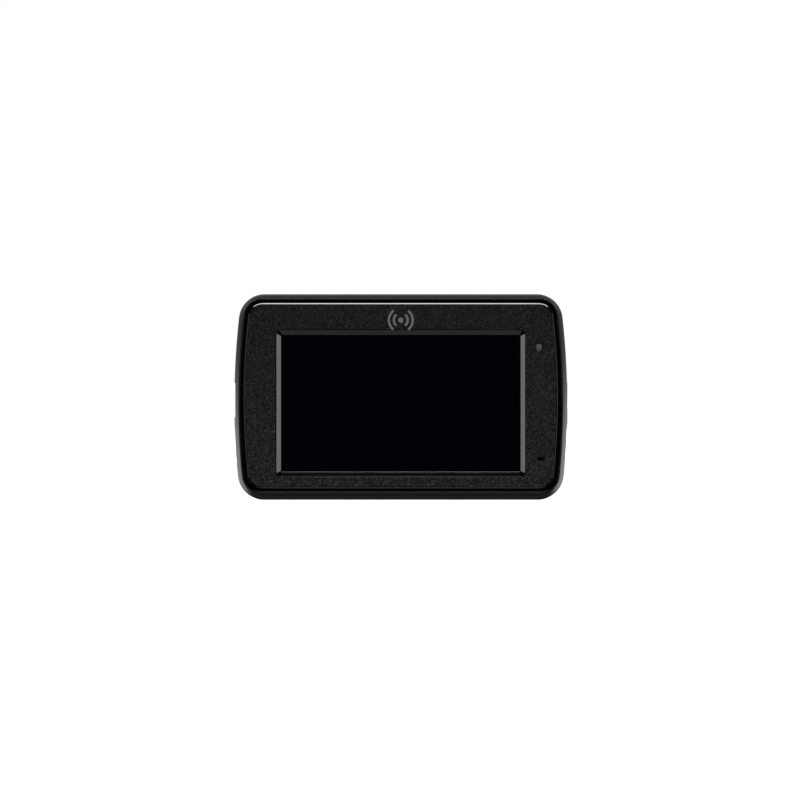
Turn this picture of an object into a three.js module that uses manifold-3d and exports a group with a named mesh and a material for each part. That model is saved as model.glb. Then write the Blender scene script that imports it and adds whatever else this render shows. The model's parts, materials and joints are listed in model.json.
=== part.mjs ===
// Windscreen radar detector with a colour display, as an assembly of separate pieces.
// Millimetres. +X is to the right as the driver sees the display, +Y points ahead to the road,
// +Z is up. The origin is on the flat underside, below the middle of the case.
import * as THREE from "three";
import { mergeVertices } from "three/addons/utils/BufferGeometryUtils.js";
import Module from "manifold-3d";

const wasm = await Module();
wasm.setup();

// ---------- driving dimensions ----------

// Outlines seen from the front: round corners and two upright sides that bow outwards, with
// radius bow, and are widest at height bowZ. The groove runs round the face plate in the case.
const CASE = { halfWidth: 46.85, top: 57.8, bottom: 0, bow: 216, bowZ: 27.4, corner: 7.3 };
const PLATE = { halfWidth: 44.3, top: 55.3, bottom: 3.15, bow: 206, bowZ: 28.4, corner: 4.2 };
const GROOVE = { halfWidth: 45, top: 56.15, bottom: 2.5, bow: 202, bowZ: 26.6, corner: 4.7 };

// The display and its window.
const SCREEN_Z = 27.1;
const WINDOW = { width: 66.9, height: 38.1, corner: 0.4 };
const BEVEL_WIDTH = 1.55;
const PLATE_CHAMFER = 0.45;
const WINDOW_LIP = 0.35;

// Depths along Y, from the driver's side to the road side.
const FACE_Y = -19;
const RING_Y = -18.2;
const PLATE_BACK_Y = -17.4;
const GROOVE_FLOOR_Y = -16.6;
const RIM_BACK_Y = -16.2;
const FLANGE_Y = -15.9;
const FLANGE_BACK_Y = -14;
const SKIRT_BACK_Y = -12.6;
const CHASSIS_Y = -12.2;
const CHASSIS_BACK_Y = -11.2;
const BOARD_Y = -8.4;
const BOARD_BACK_Y = -7.2;
const HOUSING_BACK_Y = 3;
const COVER_Y = 3.3;
const COVER_INNER_Y = 13;
const COVER_FACE_Y = 15;
const RAIL_NECK_Y = 17;
const RAIL_FACE_Y = 19;

const WALL = 1.9;
const GAP = 0.3; // between pieces that meet across a seam
const CONTACT = 0.1; // between flat layers that rest on each other
const THROUGH = 1; // how far a cutter runs past the face it opens

// Features on the case.
const PORT = { y: -5.15, z: 28, width: 6.4, height: 9.7, floorX: -42.5 };
const PORT_PAD = { depth: 0.33, frontY: -15, backY: 2.4 };
const KEYS = { y: -5.15, width: 4, low: 20.55, length: 6.6, proud: 0.02 };
const RESET = { y: -6, z: 40, hole: 0.65 };
const CARD = { x: -20, y: -6.1, width: 11, length: 15, thickness: 0.7, top: 57.2 };
const INDICATOR = { x: 38.8, z: 42.7, width: 2.1, height: 2.6 };
const MICROPHONE = { x: 39.25, z: 11.5, width: 2.1, height: 1 };
const RAIL = { z: 39.5, height: 18, neck: 13, head: 19 };
const LASER = { x: -3, z: 19.5, width: 15, height: 11, corner: 2.5 };
const HORN = { x: 19.5, z: 19, width: 24, height: 19 };
const SPEAKER = { x: -23, z: 19, radius: 10 };
const POSTS = [
  [-35.5, 10.2],
  [35.5, 10.2],
  [35.5, 47.6],
  [-35.5, 47.6],
];
const STANDOFFS = [
  [-30.5, 17],
  [30.5, 17],
  [30.5, 41],
  [-30.5, 41],
];
const RAIL_SCREWS_Z = [34.5, 43.5];

// The power socket's metal mouth, and the switches that the side keys push.
const SOCKET = { mouthX: -42, backX: -32.8, low: -7.1, high: -3.2, height: 7.7 };
const SWITCH = { length: 4.1, depth: 3.6, height: 5.6, backX: 38.2, pocket: 1 };

const RAIL_SCREW = { headRadius: 2, headHeight: 1.4, shankRadius: 1, length: 8 };
const CASE_SCREW = { headRadius: 2.2, headHeight: 1.7, shankRadius: 1.1, length: 12.5 };
const BOARD_SCREW = { headRadius: 1.6, headHeight: 0.8, shankRadius: 0.65, length: 3.4 };
const CASE_SCREW_SEAT_Y = 9.1;

// Outer skin of the case at each depth: [y, side inset, top inset, bottom inset, corner radius].
const HOUSING_SKIN = [
  [RING_Y, 1.55, 1.4, 2.2, 4.9],
  [-17.9, 1.25, 1.2, 1.85, 5.3],
  [-16.9, 0.95, 0.66, 1.25, 5.9],
  [-15.9, 0.68, 0.46, 0.8, 6.4],
  [-14.9, 0.42, 0.32, 0.4, 6.8],
  [-13.5, 0.2, 0.2, 0.06, 7.1],
  [-11.5, 0.06, 0.09, 0, 7.25],
  [-8.4, 0.01, 0.01, 0, 7.3],
  [-5, 0, 0, 0, 7.3],
  [-1.8, 0.09, 0, 0, 7.3],
  [HOUSING_BACK_Y, 0.5, 0.08, 0, 7.3],
];
const COVER_SKIN = [
  [COVER_Y, 0.53, 0.1, 0, 7.3],
  [7, 1.12, 0.3, 0, 7.5],
  [9.5, 1.8, 0.75, 0.3, 7.8],
  [11.5, 2.7, 1.5, 0.95, 8.1],
  [COVER_INNER_Y, 3.8, 2.5, 1.9, 8.4],
  [14, 4.9, 3.5, 2.9, 8.4],
  [14.7, 6.1, 4.6, 4, 8.2],
  [COVER_FACE_Y, 7.4, 5.8, 5.2, 7.9],
];

const FINISH = {
  caseBlack: { color: 0x1f1f1d, roughness: 0.55, metalness: 0 },
  keyBlack: { color: 0x1b1b1b, roughness: 0.5, metalness: 0 },
  screenBlack: { color: 0x020206, roughness: 0.05, metalness: 0 },
  smokedLens: { color: 0x16060a, roughness: 0.05, metalness: 0 },
  clearPlastic: { color: 0x8d8f90, roughness: 0.2, metalness: 0 },
  displayCell: { color: 0x0b0c12, roughness: 0.1, metalness: 0 },
  stainless: { color: 0xb5b7ba, roughness: 0.3, metalness: 1 },
  screwBlack: { color: 0x1a1a1c, roughness: 0.35, metalness: 0.9 },
  dieCast: { color: 0x9a9c9e, roughness: 0.45, metalness: 1 },
  boardGreen: { color: 0x0f4a2c, roughness: 0.4, metalness: 0 },
  chipBlack: { color: 0x17171a, roughness: 0.6, metalness: 0 },
  rubberBlack: { color: 0x141414, roughness: 0.9, metalness: 0 },
  flexAmber: { color: 0xa8611a, roughness: 0.35, metalness: 0 },
  ceramicTan: { color: 0xb9a78a, roughness: 0.6, metalness: 0 },
  foilBlue: { color: 0x1d3f7a, roughness: 0.4, metalness: 0 },
  paperCone: { color: 0x242424, roughness: 0.8, metalness: 0 },
  ledWhite: { color: 0xe8e8d8, roughness: 0.3, metalness: 0 },
};

// ---------- outlines, in X and Z ----------

function bowedShape({ halfWidth, top, bottom, bow, bowZ, corner }) {
  const bowX = halfWidth - bow;
  // Where a corner's arc meets the bowed side: its centre, and the angle of the meeting point.
  const meet = (z) => {
    const x = bowX + Math.sqrt((bow - corner) ** 2 - (z - bowZ) ** 2);
    return { x, z, angle: Math.atan2(z - bowZ, x - bowX) };
  };
  const high = meet(top - corner);
  const low = meet(bottom + corner);
  const half = Math.PI / 2;
  return new THREE.Shape()
    .absarc(bowX, bowZ, bow, low.angle, high.angle)
    .absarc(high.x, high.z, corner, high.angle, half)
    .absarc(-high.x, high.z, corner, half, Math.PI - high.angle)
    .absarc(-bowX, bowZ, bow, Math.PI - high.angle, Math.PI - low.angle)
    .absarc(-low.x, low.z, corner, Math.PI - low.angle, 3 * half)
    .absarc(low.x, low.z, corner, 3 * half, 4 * half + low.angle);
}

// The outline moved in by one distance all round.
function inset(outline, by) {
  return {
    ...outline,
    halfWidth: outline.halfWidth - by,
    top: outline.top - by,
    bottom: outline.bottom + by,
    bow: outline.bow - by,
    corner: Math.max(outline.corner - by, 0.6),
  };
}

// The case outline at one depth: each side moved in by its own distance.
function caseSection(side, top, bottom, corner, wall = 0) {
  const outline = {
    ...CASE,
    halfWidth: CASE.halfWidth - side,
    top: CASE.top - top,
    bottom: CASE.bottom + bottom,
    corner,
  };
  return bowedShape(inset(outline, wall));
}

function roundedRect(width, height, corner, x = 0, z = 0) {
  const cornerX = width / 2 - corner;
  const cornerZ = height / 2 - corner;
  const half = Math.PI / 2;
  return new THREE.Shape()
    .absarc(x + cornerX, z - cornerZ, corner, -half, 0)
    .absarc(x + cornerX, z + cornerZ, corner, 0, half)
    .absarc(x - cornerX, z + cornerZ, corner, half, 2 * half)
    .absarc(x - cornerX, z - cornerZ, corner, 2 * half, 3 * half);
}

// A shape's corner points, without the doubles where two arcs meet.
function outlinePoints(shape, divisions = 3) {
  const points = shape.getPoints(divisions);
  return points.filter((p, i) => p.distanceTo(points[(i + 1) % points.length]) > 1e-4);
}

// ---------- solids ----------

function toSolid(geometry) {
  const bare = geometry.clone();
  bare.deleteAttribute("normal");
  bare.deleteAttribute("uv");
  const merged = mergeVertices(bare, 1e-4);
  return new wasm.Manifold(
    new wasm.Mesh({
      numProp: 3,
      vertProperties: merged.attributes.position.array,
      triVerts: new Uint32Array(merged.index.array),
    }),
  );
}

function toGeometry(solid) {
  const mesh = solid.getMesh();
  const geometry = new THREE.BufferGeometry();
  geometry.setAttribute("position", new THREE.BufferAttribute(mesh.vertProperties, 3));
  geometry.setIndex(new THREE.BufferAttribute(mesh.triVerts, 1));
  geometry.computeVertexNormals();
  return geometry;
}

const join = (...solids) => solids.reduce((all, one) => all.add(one));
const cut = (solid, ...tools) => tools.reduce((rest, tool) => rest.subtract(tool), solid);

// A skin through outlines at increasing Y, closed at both ends.
function loft(stations, divisions = 3) {
  const rings = stations.map(([y, shape]) => ({ y, points: outlinePoints(shape, divisions) }));
  const count = rings[0].points.length;
  const positions = rings.flatMap(({ y, points }) => points.flatMap((p) => [p.x, y, p.y]));
  const faces = [];
  for (let i = 0; i < rings.length - 1; i++) {
    for (let j = 0; j < count; j++) {
      const a = i * count + j;
      const b = i * count + ((j + 1) % count);
      faces.push(a, a + count, b, a + count, b + count, b);
    }
  }
  const last = (rings.length - 1) * count;
  for (const [a, b, c] of THREE.ShapeUtils.triangulateShape(rings[0].points, [])) {
    faces.push(a, b, c);
  }
  for (const [a, b, c] of THREE.ShapeUtils.triangulateShape(rings.at(-1).points, [])) {
    faces.push(last + a, last + c, last + b);
  }
  const geometry = new THREE.BufferGeometry();
  geometry.setAttribute("position", new THREE.Float32BufferAttribute(positions, 3));
  geometry.setIndex(faces);
  return toSolid(geometry);
}

const slab = (shape, y0, y1, divisions = 3) =>
  loft([[y0, shape], [y1, shape]], divisions);

function block(x0, x1, y0, y1, z0, z1) {
  const geometry = new THREE.BoxGeometry(x1 - x0, y1 - y0, z1 - z0);
  return toSolid(geometry.translate((x0 + x1) / 2, (y0 + y1) / 2, (z0 + z1) / 2));
}

// A box with its own middle at the origin, for pieces that are placed by position.
const boxPiece = (x, y, z) => new THREE.BoxGeometry(x, y, z);

function rodY(radius, x, z, y0, y1, sides = 14) {
  const geometry = new THREE.CylinderGeometry(radius, radius, y1 - y0, sides);
  return toSolid(geometry.translate(x, (y0 + y1) / 2, z));
}

function rodX(radius, y, z, x0, x1, sides = 12) {
  const geometry = new THREE.CylinderGeometry(radius, radius, x1 - x0, sides);
  return toSolid(geometry.rotateZ(Math.PI / 2).translate((x0 + x1) / 2, y, z));
}

// A turned piece about its own Y axis from [radius, y] pairs that run upwards along the outside.
const turned = (profile, sides = 16) =>
  new THREE.LatheGeometry(profile.map(([r, y]) => new THREE.Vector2(r, y)), sides);

// ---------- casing ----------

const plateShape = (by) => bowedShape(inset(PLATE, by));

function frontBezel() {
  const plate = loft([
    [FACE_Y, plateShape(PLATE_CHAMFER)],
    [FACE_Y + PLATE_CHAMFER, plateShape(0)],
    [RIM_BACK_Y, plateShape(0)],
  ]);
  const skirt = slab(plateShape(0.65), PLATE_BACK_Y, SKIRT_BACK_Y);
  const pocket = slab(plateShape(1.75), PLATE_BACK_Y, SKIRT_BACK_Y + THROUGH);
  const windowShape = (grow) =>
    roundedRect(
      WINDOW.width + 2 * grow,
      WINDOW.height + 2 * grow,
      WINDOW.corner + grow * 0.75,
      0,
      SCREEN_Z,
    );
  const lipY = PLATE_BACK_Y - WINDOW_LIP;
  const bevel = loft([
    [FACE_Y, windowShape(BEVEL_WIDTH)],
    [lipY, windowShape(0)],
  ]);
  const opening = slab(windowShape(0), FACE_Y - THROUGH, PLATE_BACK_Y + THROUGH);
  const skin = slab(windowShape(BEVEL_WIDTH), FACE_Y - THROUGH, FACE_Y);
  const indicator = slab(
    roundedRect(INDICATOR.width, INDICATOR.height, 0.3, INDICATOR.x, INDICATOR.z),
    FACE_Y - THROUGH,
    PLATE_BACK_Y + THROUGH,
    1,
  );
  const microphone = slab(
    roundedRect(MICROPHONE.width, MICROPHONE.height, 0.49, MICROPHONE.x, MICROPHONE.z),
    FACE_Y - THROUGH,
    PLATE_BACK_Y + THROUGH,
    2,
  );
  return cut(join(plate, skirt), pocket, bevel, skin, opening, indicator, microphone);
}

const skin = (stations, wall = 0) =>
  stations.map(([y, side, top, bottom, corner]) => [
    y,
    caseSection(side, top, bottom, corner, wall),
  ]);

function housing() {
  const outside = loft(skin(HOUSING_SKIN));
  const inside = HOUSING_SKIN.filter(([y]) => y > FLANGE_BACK_Y);
  const [, ...frontInset] = inside[0];
  const [, ...backInset] = inside.at(-1);
  const interior = loft(
    skin(
      [[FLANGE_BACK_Y, ...frontInset], ...inside, [HOUSING_BACK_Y + THROUGH, ...backInset]],
      WALL,
    ),
  );
  const groove = slab(bowedShape(GROOVE), RING_Y - THROUGH, GROOVE_FLOOR_Y);
  const seat = slab(plateShape(-0.35), RING_Y - THROUGH, FLANGE_Y);
  const mouth = slab(plateShape(0.35), RING_Y - THROUGH, FLANGE_BACK_Y + THROUGH);
  const shell = cut(outside, interior, groove, seat, mouth);
  const collar = portCollar();
  return cut(join(shell, collar), ...portCuts(), ...keyCuts(), ...cardCuts());
}

// The walls round the power socket's pocket in the left side.
function portCollar() {
  const wall = 1.25;
  return block(
    -CASE.halfWidth + WALL / 2,
    PORT.floorX + 1.2,
    PORT.y - PORT.width / 2 - wall,
    PORT.y + PORT.width / 2 + wall,
    PORT.z - PORT.height / 2 - wall,
    PORT.z + PORT.height / 2 + wall,
  );
}

function portCuts() {
  const low = PORT.z - PORT.height / 2;
  const high = PORT.z + PORT.height / 2;
  const outsideX = -CASE.halfWidth - THROUGH;
  const padX = PORT_PAD.depth - CASE.halfWidth;
  const pad = block(outsideX, padX, PORT_PAD.frontY, PORT_PAD.backY, low, high);
  const pocket = block(
    outsideX,
    PORT.floorX,
    PORT.y - PORT.width / 2,
    PORT.y + PORT.width / 2,
    low,
    high,
  );
  const socketHole = block(
    outsideX,
    PORT.floorX + 2,
    PORT.y - 2.3,
    PORT.y + 2.3,
    PORT.z - 4.2,
    PORT.z + 4.2,
  );
  const resetHole = rodX(RESET.hole, RESET.y, RESET.z, outsideX, -CASE.halfWidth + 4, 10);
  return [pad, pocket, socketHole, resetHole];
}

function keyCuts() {
  const play = 0.3;
  return [
    block(
      CASE.halfWidth - 4,
      CASE.halfWidth + THROUGH,
      KEYS.y - KEYS.width / 2 - play,
      KEYS.y + KEYS.width / 2 + play,
      KEYS.low - play,
      KEYS.low + 2 * KEYS.length + 2 * play,
    ),
  ];
}

function cardCuts() {
  const slot = block(
    CARD.x - CARD.width / 2 - 0.5,
    CARD.x + CARD.width / 2 + 0.5,
    CARD.y - 0.75,
    CARD.y + 0.75,
    CASE.top - 4,
    CASE.top + THROUGH,
  );
  const scoopRadius = 6;
  const scoopDepth = 0.7;
  const scoop = rodX(
    scoopRadius,
    CARD.y + 1.2,
    CASE.top + scoopRadius - scoopDepth,
    CARD.x - 4.5,
    CARD.x + 4.5,
    24,
  );
  return [slot, scoop];
}

function rearCover() {
  const outside = loft(skin(COVER_SKIN));
  const inside = COVER_SKIN.filter(([y]) => y <= COVER_INNER_Y);
  const [, ...frontInset] = inside[0];
  const interior = loft(skin([[COVER_Y - THROUGH, ...frontInset], ...inside], WALL));
  // The tongue stands inside the housing's back edge and centres the cover on it.
  const tongueY = 0.9;
  const tongueSection = (wall) => caseSection(...frontInset, wall);
  const tongue = cut(
    slab(tongueSection(WALL + GAP), tongueY, COVER_Y + THROUGH),
    slab(tongueSection(WALL + GAP + 1.1), tongueY - THROUGH, COVER_Y + 2 * THROUGH),
  );
  const tongueRoot = cut(
    slab(tongueSection(0.8), COVER_Y, COVER_Y + THROUGH),
    slab(tongueSection(WALL + GAP + 1.1), COVER_Y - THROUGH, COVER_Y + 2 * THROUGH),
  );
  const posts = POSTS.map(([x, z]) => rodY(3.3, x, z, 1.6, COVER_INNER_Y + 0.6));
  const railBosses = RAIL_SCREWS_Z.map((z) => rodY(2.5, 0, z, 8, COVER_INNER_Y + 0.6, 16));
  const body = join(cut(outside, interior), tongue, tongueRoot, ...posts, ...railBosses);
  return cut(body, ...coverHoles());
}

function coverHoles() {
  const outsideY = COVER_FACE_Y + THROUGH;
  const screws = POSTS.flatMap(([x, z]) => [
    rodY(1.45, x, z, 0, outsideY, 12),
    rodY(2.6, x, z, 9, outsideY),
  ]);
  const railScrews = RAIL_SCREWS_Z.map((z) => rodY(1.35, 0, z, 7, outsideY, 12));
  const laserRebate = slab(
    roundedRect(LASER.width + 2, LASER.height + 2, LASER.corner + 1, LASER.x, LASER.z),
    COVER_FACE_Y - 1.2,
    outsideY,
    2,
  );
  const laserHole = slab(
    roundedRect(LASER.width, LASER.height, LASER.corner, LASER.x, LASER.z),
    COVER_INNER_Y - THROUGH,
    outsideY,
    2,
  );
  return [...screws, ...railScrews, laserRebate, laserHole, ...grilleSlots()];
}

// Level slots across the speaker, each as long as the round grille is wide at its height.
function grilleSlots() {
  const pitch = 2.4;
  const slotHeight = 1.3;
  const reach = 8.6;
  return [-3, -2, -1, 0, 1, 2, 3].map((row) => {
    const length = 2 * Math.sqrt(reach ** 2 - (row * pitch) ** 2);
    return slab(
      roundedRect(length, slotHeight, slotHeight / 2 - 0.01, SPEAKER.x, SPEAKER.z + row * pitch),
      COVER_INNER_Y - THROUGH,
      COVER_FACE_Y + THROUGH,
      1,
    );
  });
}

// ---------- display ----------

function windowGasket() {
  const outer = roundedRect(70.6, 42, 1, 0, SCREEN_Z);
  const inner = roundedRect(68.2, 39.2, 0.5, 0, SCREEN_Z);
  return cut(slab(outer, -16.3, -15.9, 1), slab(inner, -17, -15, 1));
}

// The backlight's steel tray with the light guide lying in it, as one bonded unit.
function backlight() {
  const tray = slab(roundedRect(71.4, 42, 0.6, 0, SCREEN_Z), -14.6, -12.6, 1);
  const step = cut(
    slab(roundedRect(73, 44, 0.6, 0, SCREEN_Z), -14.7, -14, 1),
    slab(roundedRect(69.4, 40, 0.6, 0, SCREEN_Z), -15, -13, 1),
  );
  return cut(tray, step);
}

// The ribbon from the foot of the display back round the chassis to the main board.
function displayFlex() {
  const thickness = 0.25;
  const width = 18;
  const route = new THREE.CatmullRomCurve3([
    new THREE.Vector3(0, -15.4, 5.62),
    new THREE.Vector3(0, -13, 5.6),
    new THREE.Vector3(0, -11, 5.7),
    new THREE.Vector3(0, -9.7, 6.8),
    new THREE.Vector3(0, -9.2, 8.6),
    new THREE.Vector3(0, -9.15, 9.8),
  ]);
  const steps = 14;
  const near = [];
  const far = [];
  for (let i = 0; i <= steps; i++) {
    const p = route.getPoint(i / steps);
    const t = route.getTangent(i / steps);
    near.push(new THREE.Vector2(p.y - (t.z * thickness) / 2, p.z + (t.y * thickness) / 2));
    far.unshift(new THREE.Vector2(p.y + (t.z * thickness) / 2, p.z - (t.y * thickness) / 2));
  }
  const strip = new THREE.ExtrudeGeometry(new THREE.Shape([...near, ...far]), {
    depth: width,
    bevelEnabled: false,
  });
  // The strip is drawn in Y and Z and then turned so that its width lies along X.
  const turn = new THREE.Matrix4().makeBasis(
    new THREE.Vector3(0, 1, 0),
    new THREE.Vector3(0, 0, 1),
    new THREE.Vector3(1, 0, 0),
  );
  return strip.applyMatrix4(turn).translate(-width / 2, 0, 0);
}

// ---------- chassis and boards ----------

function chassisFrame() {
  const plate = slab(bowedShape(inset(CASE, 3.6)), CHASSIS_Y, CHASSIS_BACK_Y);
  const posts = POSTS.map(([x, z]) => rodY(2.5, x, z, CHASSIS_Y, 1.3));
  const standoffs = STANDOFFS.map(([x, z]) => rodY(2.1, x, z, CHASSIS_Y, BOARD_Y - CONTACT, 14));
  const postHoles = POSTS.map(([x, z]) => rodY(1.4, x, z, -5, 3, 12));
  const standoffHoles = STANDOFFS.map(([x, z]) => rodY(0.95, x, z, -11, BOARD_Y, 10));
  const flexNotch = block(-11, 11, CHASSIS_Y - 1, CHASSIS_BACK_Y + 1, 0, 11);
  const pipeHole = block(
    INDICATOR.x - 1.6,
    INDICATOR.x + 1.6,
    CHASSIS_Y - 1,
    CHASSIS_BACK_Y + 1,
    INDICATOR.z - 1.8,
    INDICATOR.z + 1.8,
  );
  return cut(
    join(plate, ...posts, ...standoffs),
    ...postHoles,
    ...standoffHoles,
    flexNotch,
    pipeHole,
  );
}

function mainBoard() {
  const halfWidth = 40.8;
  const low = 3.9;
  const high = 53.9;
  const notch = 9.2;
  const outline = [
    [-halfWidth + notch, low],
    [halfWidth - notch, low],
    [halfWidth - notch, low + notch],
    [halfWidth, low + notch],
    [halfWidth, high - notch],
    [halfWidth - notch, high - notch],
    [halfWidth - notch, high],
    [-halfWidth + notch, high],
    [-halfWidth + notch, high - notch],
    [-halfWidth, high - notch],
    [-halfWidth, low + notch],
    [-halfWidth + notch, low + notch],
  ];
  const shape = new THREE.Shape(outline.map(([x, z]) => new THREE.Vector2(x, z)));
  const holes = STANDOFFS.map(([x, z]) => rodY(0.95, x, z, BOARD_Y - 1, BOARD_BACK_Y + 1, 10));
  return cut(slab(shape, BOARD_Y, BOARD_BACK_Y), ...holes);
}

// A pressed can over the parts on a board, open towards +Y.
function shieldCan(width, height, depth) {
  const sheet = 0.3;
  const shell = block(-width / 2, width / 2, -depth / 2, depth / 2, -height / 2, height / 2);
  const room = block(
    -width / 2 + sheet,
    width / 2 - sheet,
    -depth / 2 + sheet,
    depth / 2 + THROUGH,
    -height / 2 + sheet,
    height / 2 - sheet,
  );
  return cut(shell, room);
}

// ---------- power socket, card and keys ----------

function socketShell() {
  const sheet = 0.35;
  const { mouthX, backX, low, high, height } = SOCKET;
  const shell = block(mouthX, backX, low, high, PORT.z - height / 2, PORT.z + height / 2);
  const room = block(
    mouthX - 1,
    backX - sheet,
    low + sheet,
    high - sheet,
    PORT.z - height / 2 + sheet,
    PORT.z + height / 2 - sheet,
  );
  return cut(shell, room);
}

function socketTongue() {
  const middle = (SOCKET.low + SOCKET.high) / 2;
  const blade = block(SOCKET.mouthX + 1.2, SOCKET.backX - 0.5, middle - 0.6, middle + 0.6, 25.4, 30.6);
  const root = block(SOCKET.backX - 2.4, SOCKET.backX - 0.5, -6.6, -3.7, 24.7, 31.3);
  return join(blade, root);
}

function cardSocket() {
  const shell = block(CARD.x - 7, CARD.x + 7, BOARD_BACK_Y + CONTACT, -5.1, 39.6, 54);
  const room = block(CARD.x - 5.8, CARD.x + 5.8, CARD.y - 0.6, CARD.y + 0.6, 41, 55);
  return cut(shell, room);
}

function memoryCard() {
  const halfWidth = CARD.width / 2;
  const foot = CARD.top - CARD.length;
  const corner = 1.4;
  const outline = [
    [-halfWidth, CARD.top],
    [-halfWidth, foot + 6],
    [-halfWidth + 0.9, foot + 5],
    [-halfWidth + 0.9, foot],
    [halfWidth - corner, foot],
    [halfWidth, foot + corner],
    [halfWidth, CARD.top],
  ];
  const points = outline.map(([x, z]) => new THREE.Vector2(CARD.x + x, z));
  return slab(new THREE.Shape(points), CARD.y - CARD.thickness / 2, CARD.y + CARD.thickness / 2);
}

// A side key: the cap through the wall and a flange behind it that keeps it in.
function sideKey(low) {
  const high = low + KEYS.length - GAP;
  const half = KEYS.width / 2;
  const faceX = CASE.halfWidth + KEYS.proud;
  const backX = 43.7;
  const cap = loftedCap(faceX, backX, half, low, high);
  const flange = block(backX, 44.3, KEYS.y - half - 0.9, KEYS.y + half + 0.9, low, high);
  return join(cap, flange);
}

// The cap is a round-cornered bar along X with a small bevel round its face.
function loftedCap(faceX, backX, half, low, high) {
  const bevel = 0.25;
  const bar = roundedRect(2 * half, high - low, 0.9);
  const face = roundedRect(2 * half - 2 * bevel, high - low - 2 * bevel, 0.9 - bevel);
  const cap = toGeometry(loft([[0, bar], [faceX - backX - bevel, bar], [faceX - backX, face]], 2));
  // The bar was built along Y; a quarter turn about Z lays it along X.
  return toSolid(cap.rotateZ(-Math.PI / 2).translate(backX, KEYS.y, (low + high) / 2));
}

// A side-pushed switch: its plunger runs in a pocket that opens along +X.
function switchBody() {
  const { length, depth, height, pocket } = SWITCH;
  const body = block(0, length, -depth / 2, depth / 2, -height / 2, height / 2);
  return cut(body, block(length - pocket, length + 1, -1, 1, -1.6, 1.6));
}

const switchPlunger = () => boxPiece(1.75, 1.4, 2.6);

function resetSwitch() {
  const body = block(0, 3, -1.1, 1.1, -1.8, 1.8);
  return cut(body, rodX(0.85, 0, 0, -1, 0.9, 10));
}

// ---------- radar and laser receivers ----------

function hornAntenna() {
  const throatY = -1.2;
  const mouthY = 12.5;
  const wall = 0.9;
  const section = (width, height) => roundedRect(width, height, 0.5, HORN.x, HORN.z);
  const outside = loft(
    [
      [throatY, section(12, 8)],
      [1, section(12, 8)],
      [mouthY, section(HORN.width, HORN.height)],
    ],
    1,
  );
  const inside = loft(
    [
      [throatY - 1, section(12 - 2 * wall, 8 - 2 * wall)],
      [1, section(12 - 2 * wall, 8 - 2 * wall)],
      [mouthY, section(HORN.width - 2 * wall, HORN.height - 2 * wall)],
      [mouthY + 1, section(HORN.width - 2 * wall, HORN.height - 2 * wall)],
    ],
    1,
  );
  const flange = slab(section(24, 21), throatY, 0.2, 1);
  return cut(join(outside, flange), inside);
}

// The tube that holds the laser lens in front of its photodiode.
function lensHolder() {
  const profile = [
    [5.3, 4.2],
    [6.5, 4.2],
    [6.5, 12.7],
    [5.4, 12.7],
    [5.4, 9.1],
    [4.6, 9.1],
    [4.6, 6],
    [5.3, 6],
    [5.3, 4.2],
  ];
  return turned(profile);
}

// A plano-convex lens, flat towards the photodiode.
function laserLens() {
  const profile = [
    [0, 9.4],
    [5.1, 9.4],
    [5.1, 10.2],
    [4, 11.1],
    [2.6, 11.8],
    [1.3, 12.15],
    [0, 12.3],
  ];
  return turned(profile);
}

function laserWindow() {
  const shape = (by) =>
    roundedRect(
      LASER.width + 1.4 - 2 * by,
      LASER.height + 1.4 - 2 * by,
      LASER.corner + 0.7 - by,
      LASER.x,
      LASER.z,
    );
  const seatY = COVER_FACE_Y - 1.2 + CONTACT;
  return loft(
    [
      [seatY, shape(0)],
      [COVER_FACE_Y - 0.1, shape(0)],
      [COVER_FACE_Y + 0.2, shape(0.6)],
    ],
    2,
  );
}

// ---------- speaker ----------

function speakerFrame() {
  const profile = [
    [0, 6.2],
    [6.8, 6.2],
    [6.8, 8.3],
    [9.6, 10],
    [10, 11.4],
    [10, 12.2],
    [8.9, 12.2],
    [8.9, 10.4],
    [6, 8.9],
    [3.8, 8.7],
    [3.8, 6.9],
    [2.6, 6.9],
    [2.6, 8.2],
    [0, 8.2],
  ];
  return turned(profile, 20);
}

function speakerCone() {
  const profile = [
    [0, 10],
    [2, 9.8],
    [2.95, 9.4],
    [2.95, 7.8],
    [3.45, 7.8],
    [3.45, 9.3],
    [8.5, 11.65],
    [8.3, 11.95],
    [3.2, 9.9],
    [2, 10.2],
    [0, 10.4],
  ];
  return turned(profile, 20);
}

function speakerGasket() {
  const profile = [
    [8.9, 12.3],
    [10, 12.3],
    [10, 12.9],
    [8.9, 12.9],
    [8.9, 12.3],
  ];
  return turned(profile, 20);
}

// The insulated pair from the speaker's tags to the main board, held at both ends.
function speakerLead() {
  const radius = 0.6;
  const route = new THREE.CatmullRomCurve3([
    new THREE.Vector3(-27.8, 7.6, 25.2),
    new THREE.Vector3(-28.6, 6.2, 27),
    new THREE.Vector3(-28.8, 2.4, 29.4),
    new THREE.Vector3(-28, -1.6, 30.8),
    new THREE.Vector3(-26.6, -4.2, 31.4),
    new THREE.Vector3(-26.2, -5.6, 31.4),
  ]);
  const section = new THREE.Shape().absarc(0, 0, radius, 0, 2 * Math.PI);
  return new THREE.ExtrudeGeometry(section, { steps: 14, extrudePath: route, curveSegments: 4 });
}

// ---------- mount rail and fasteners ----------

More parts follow.
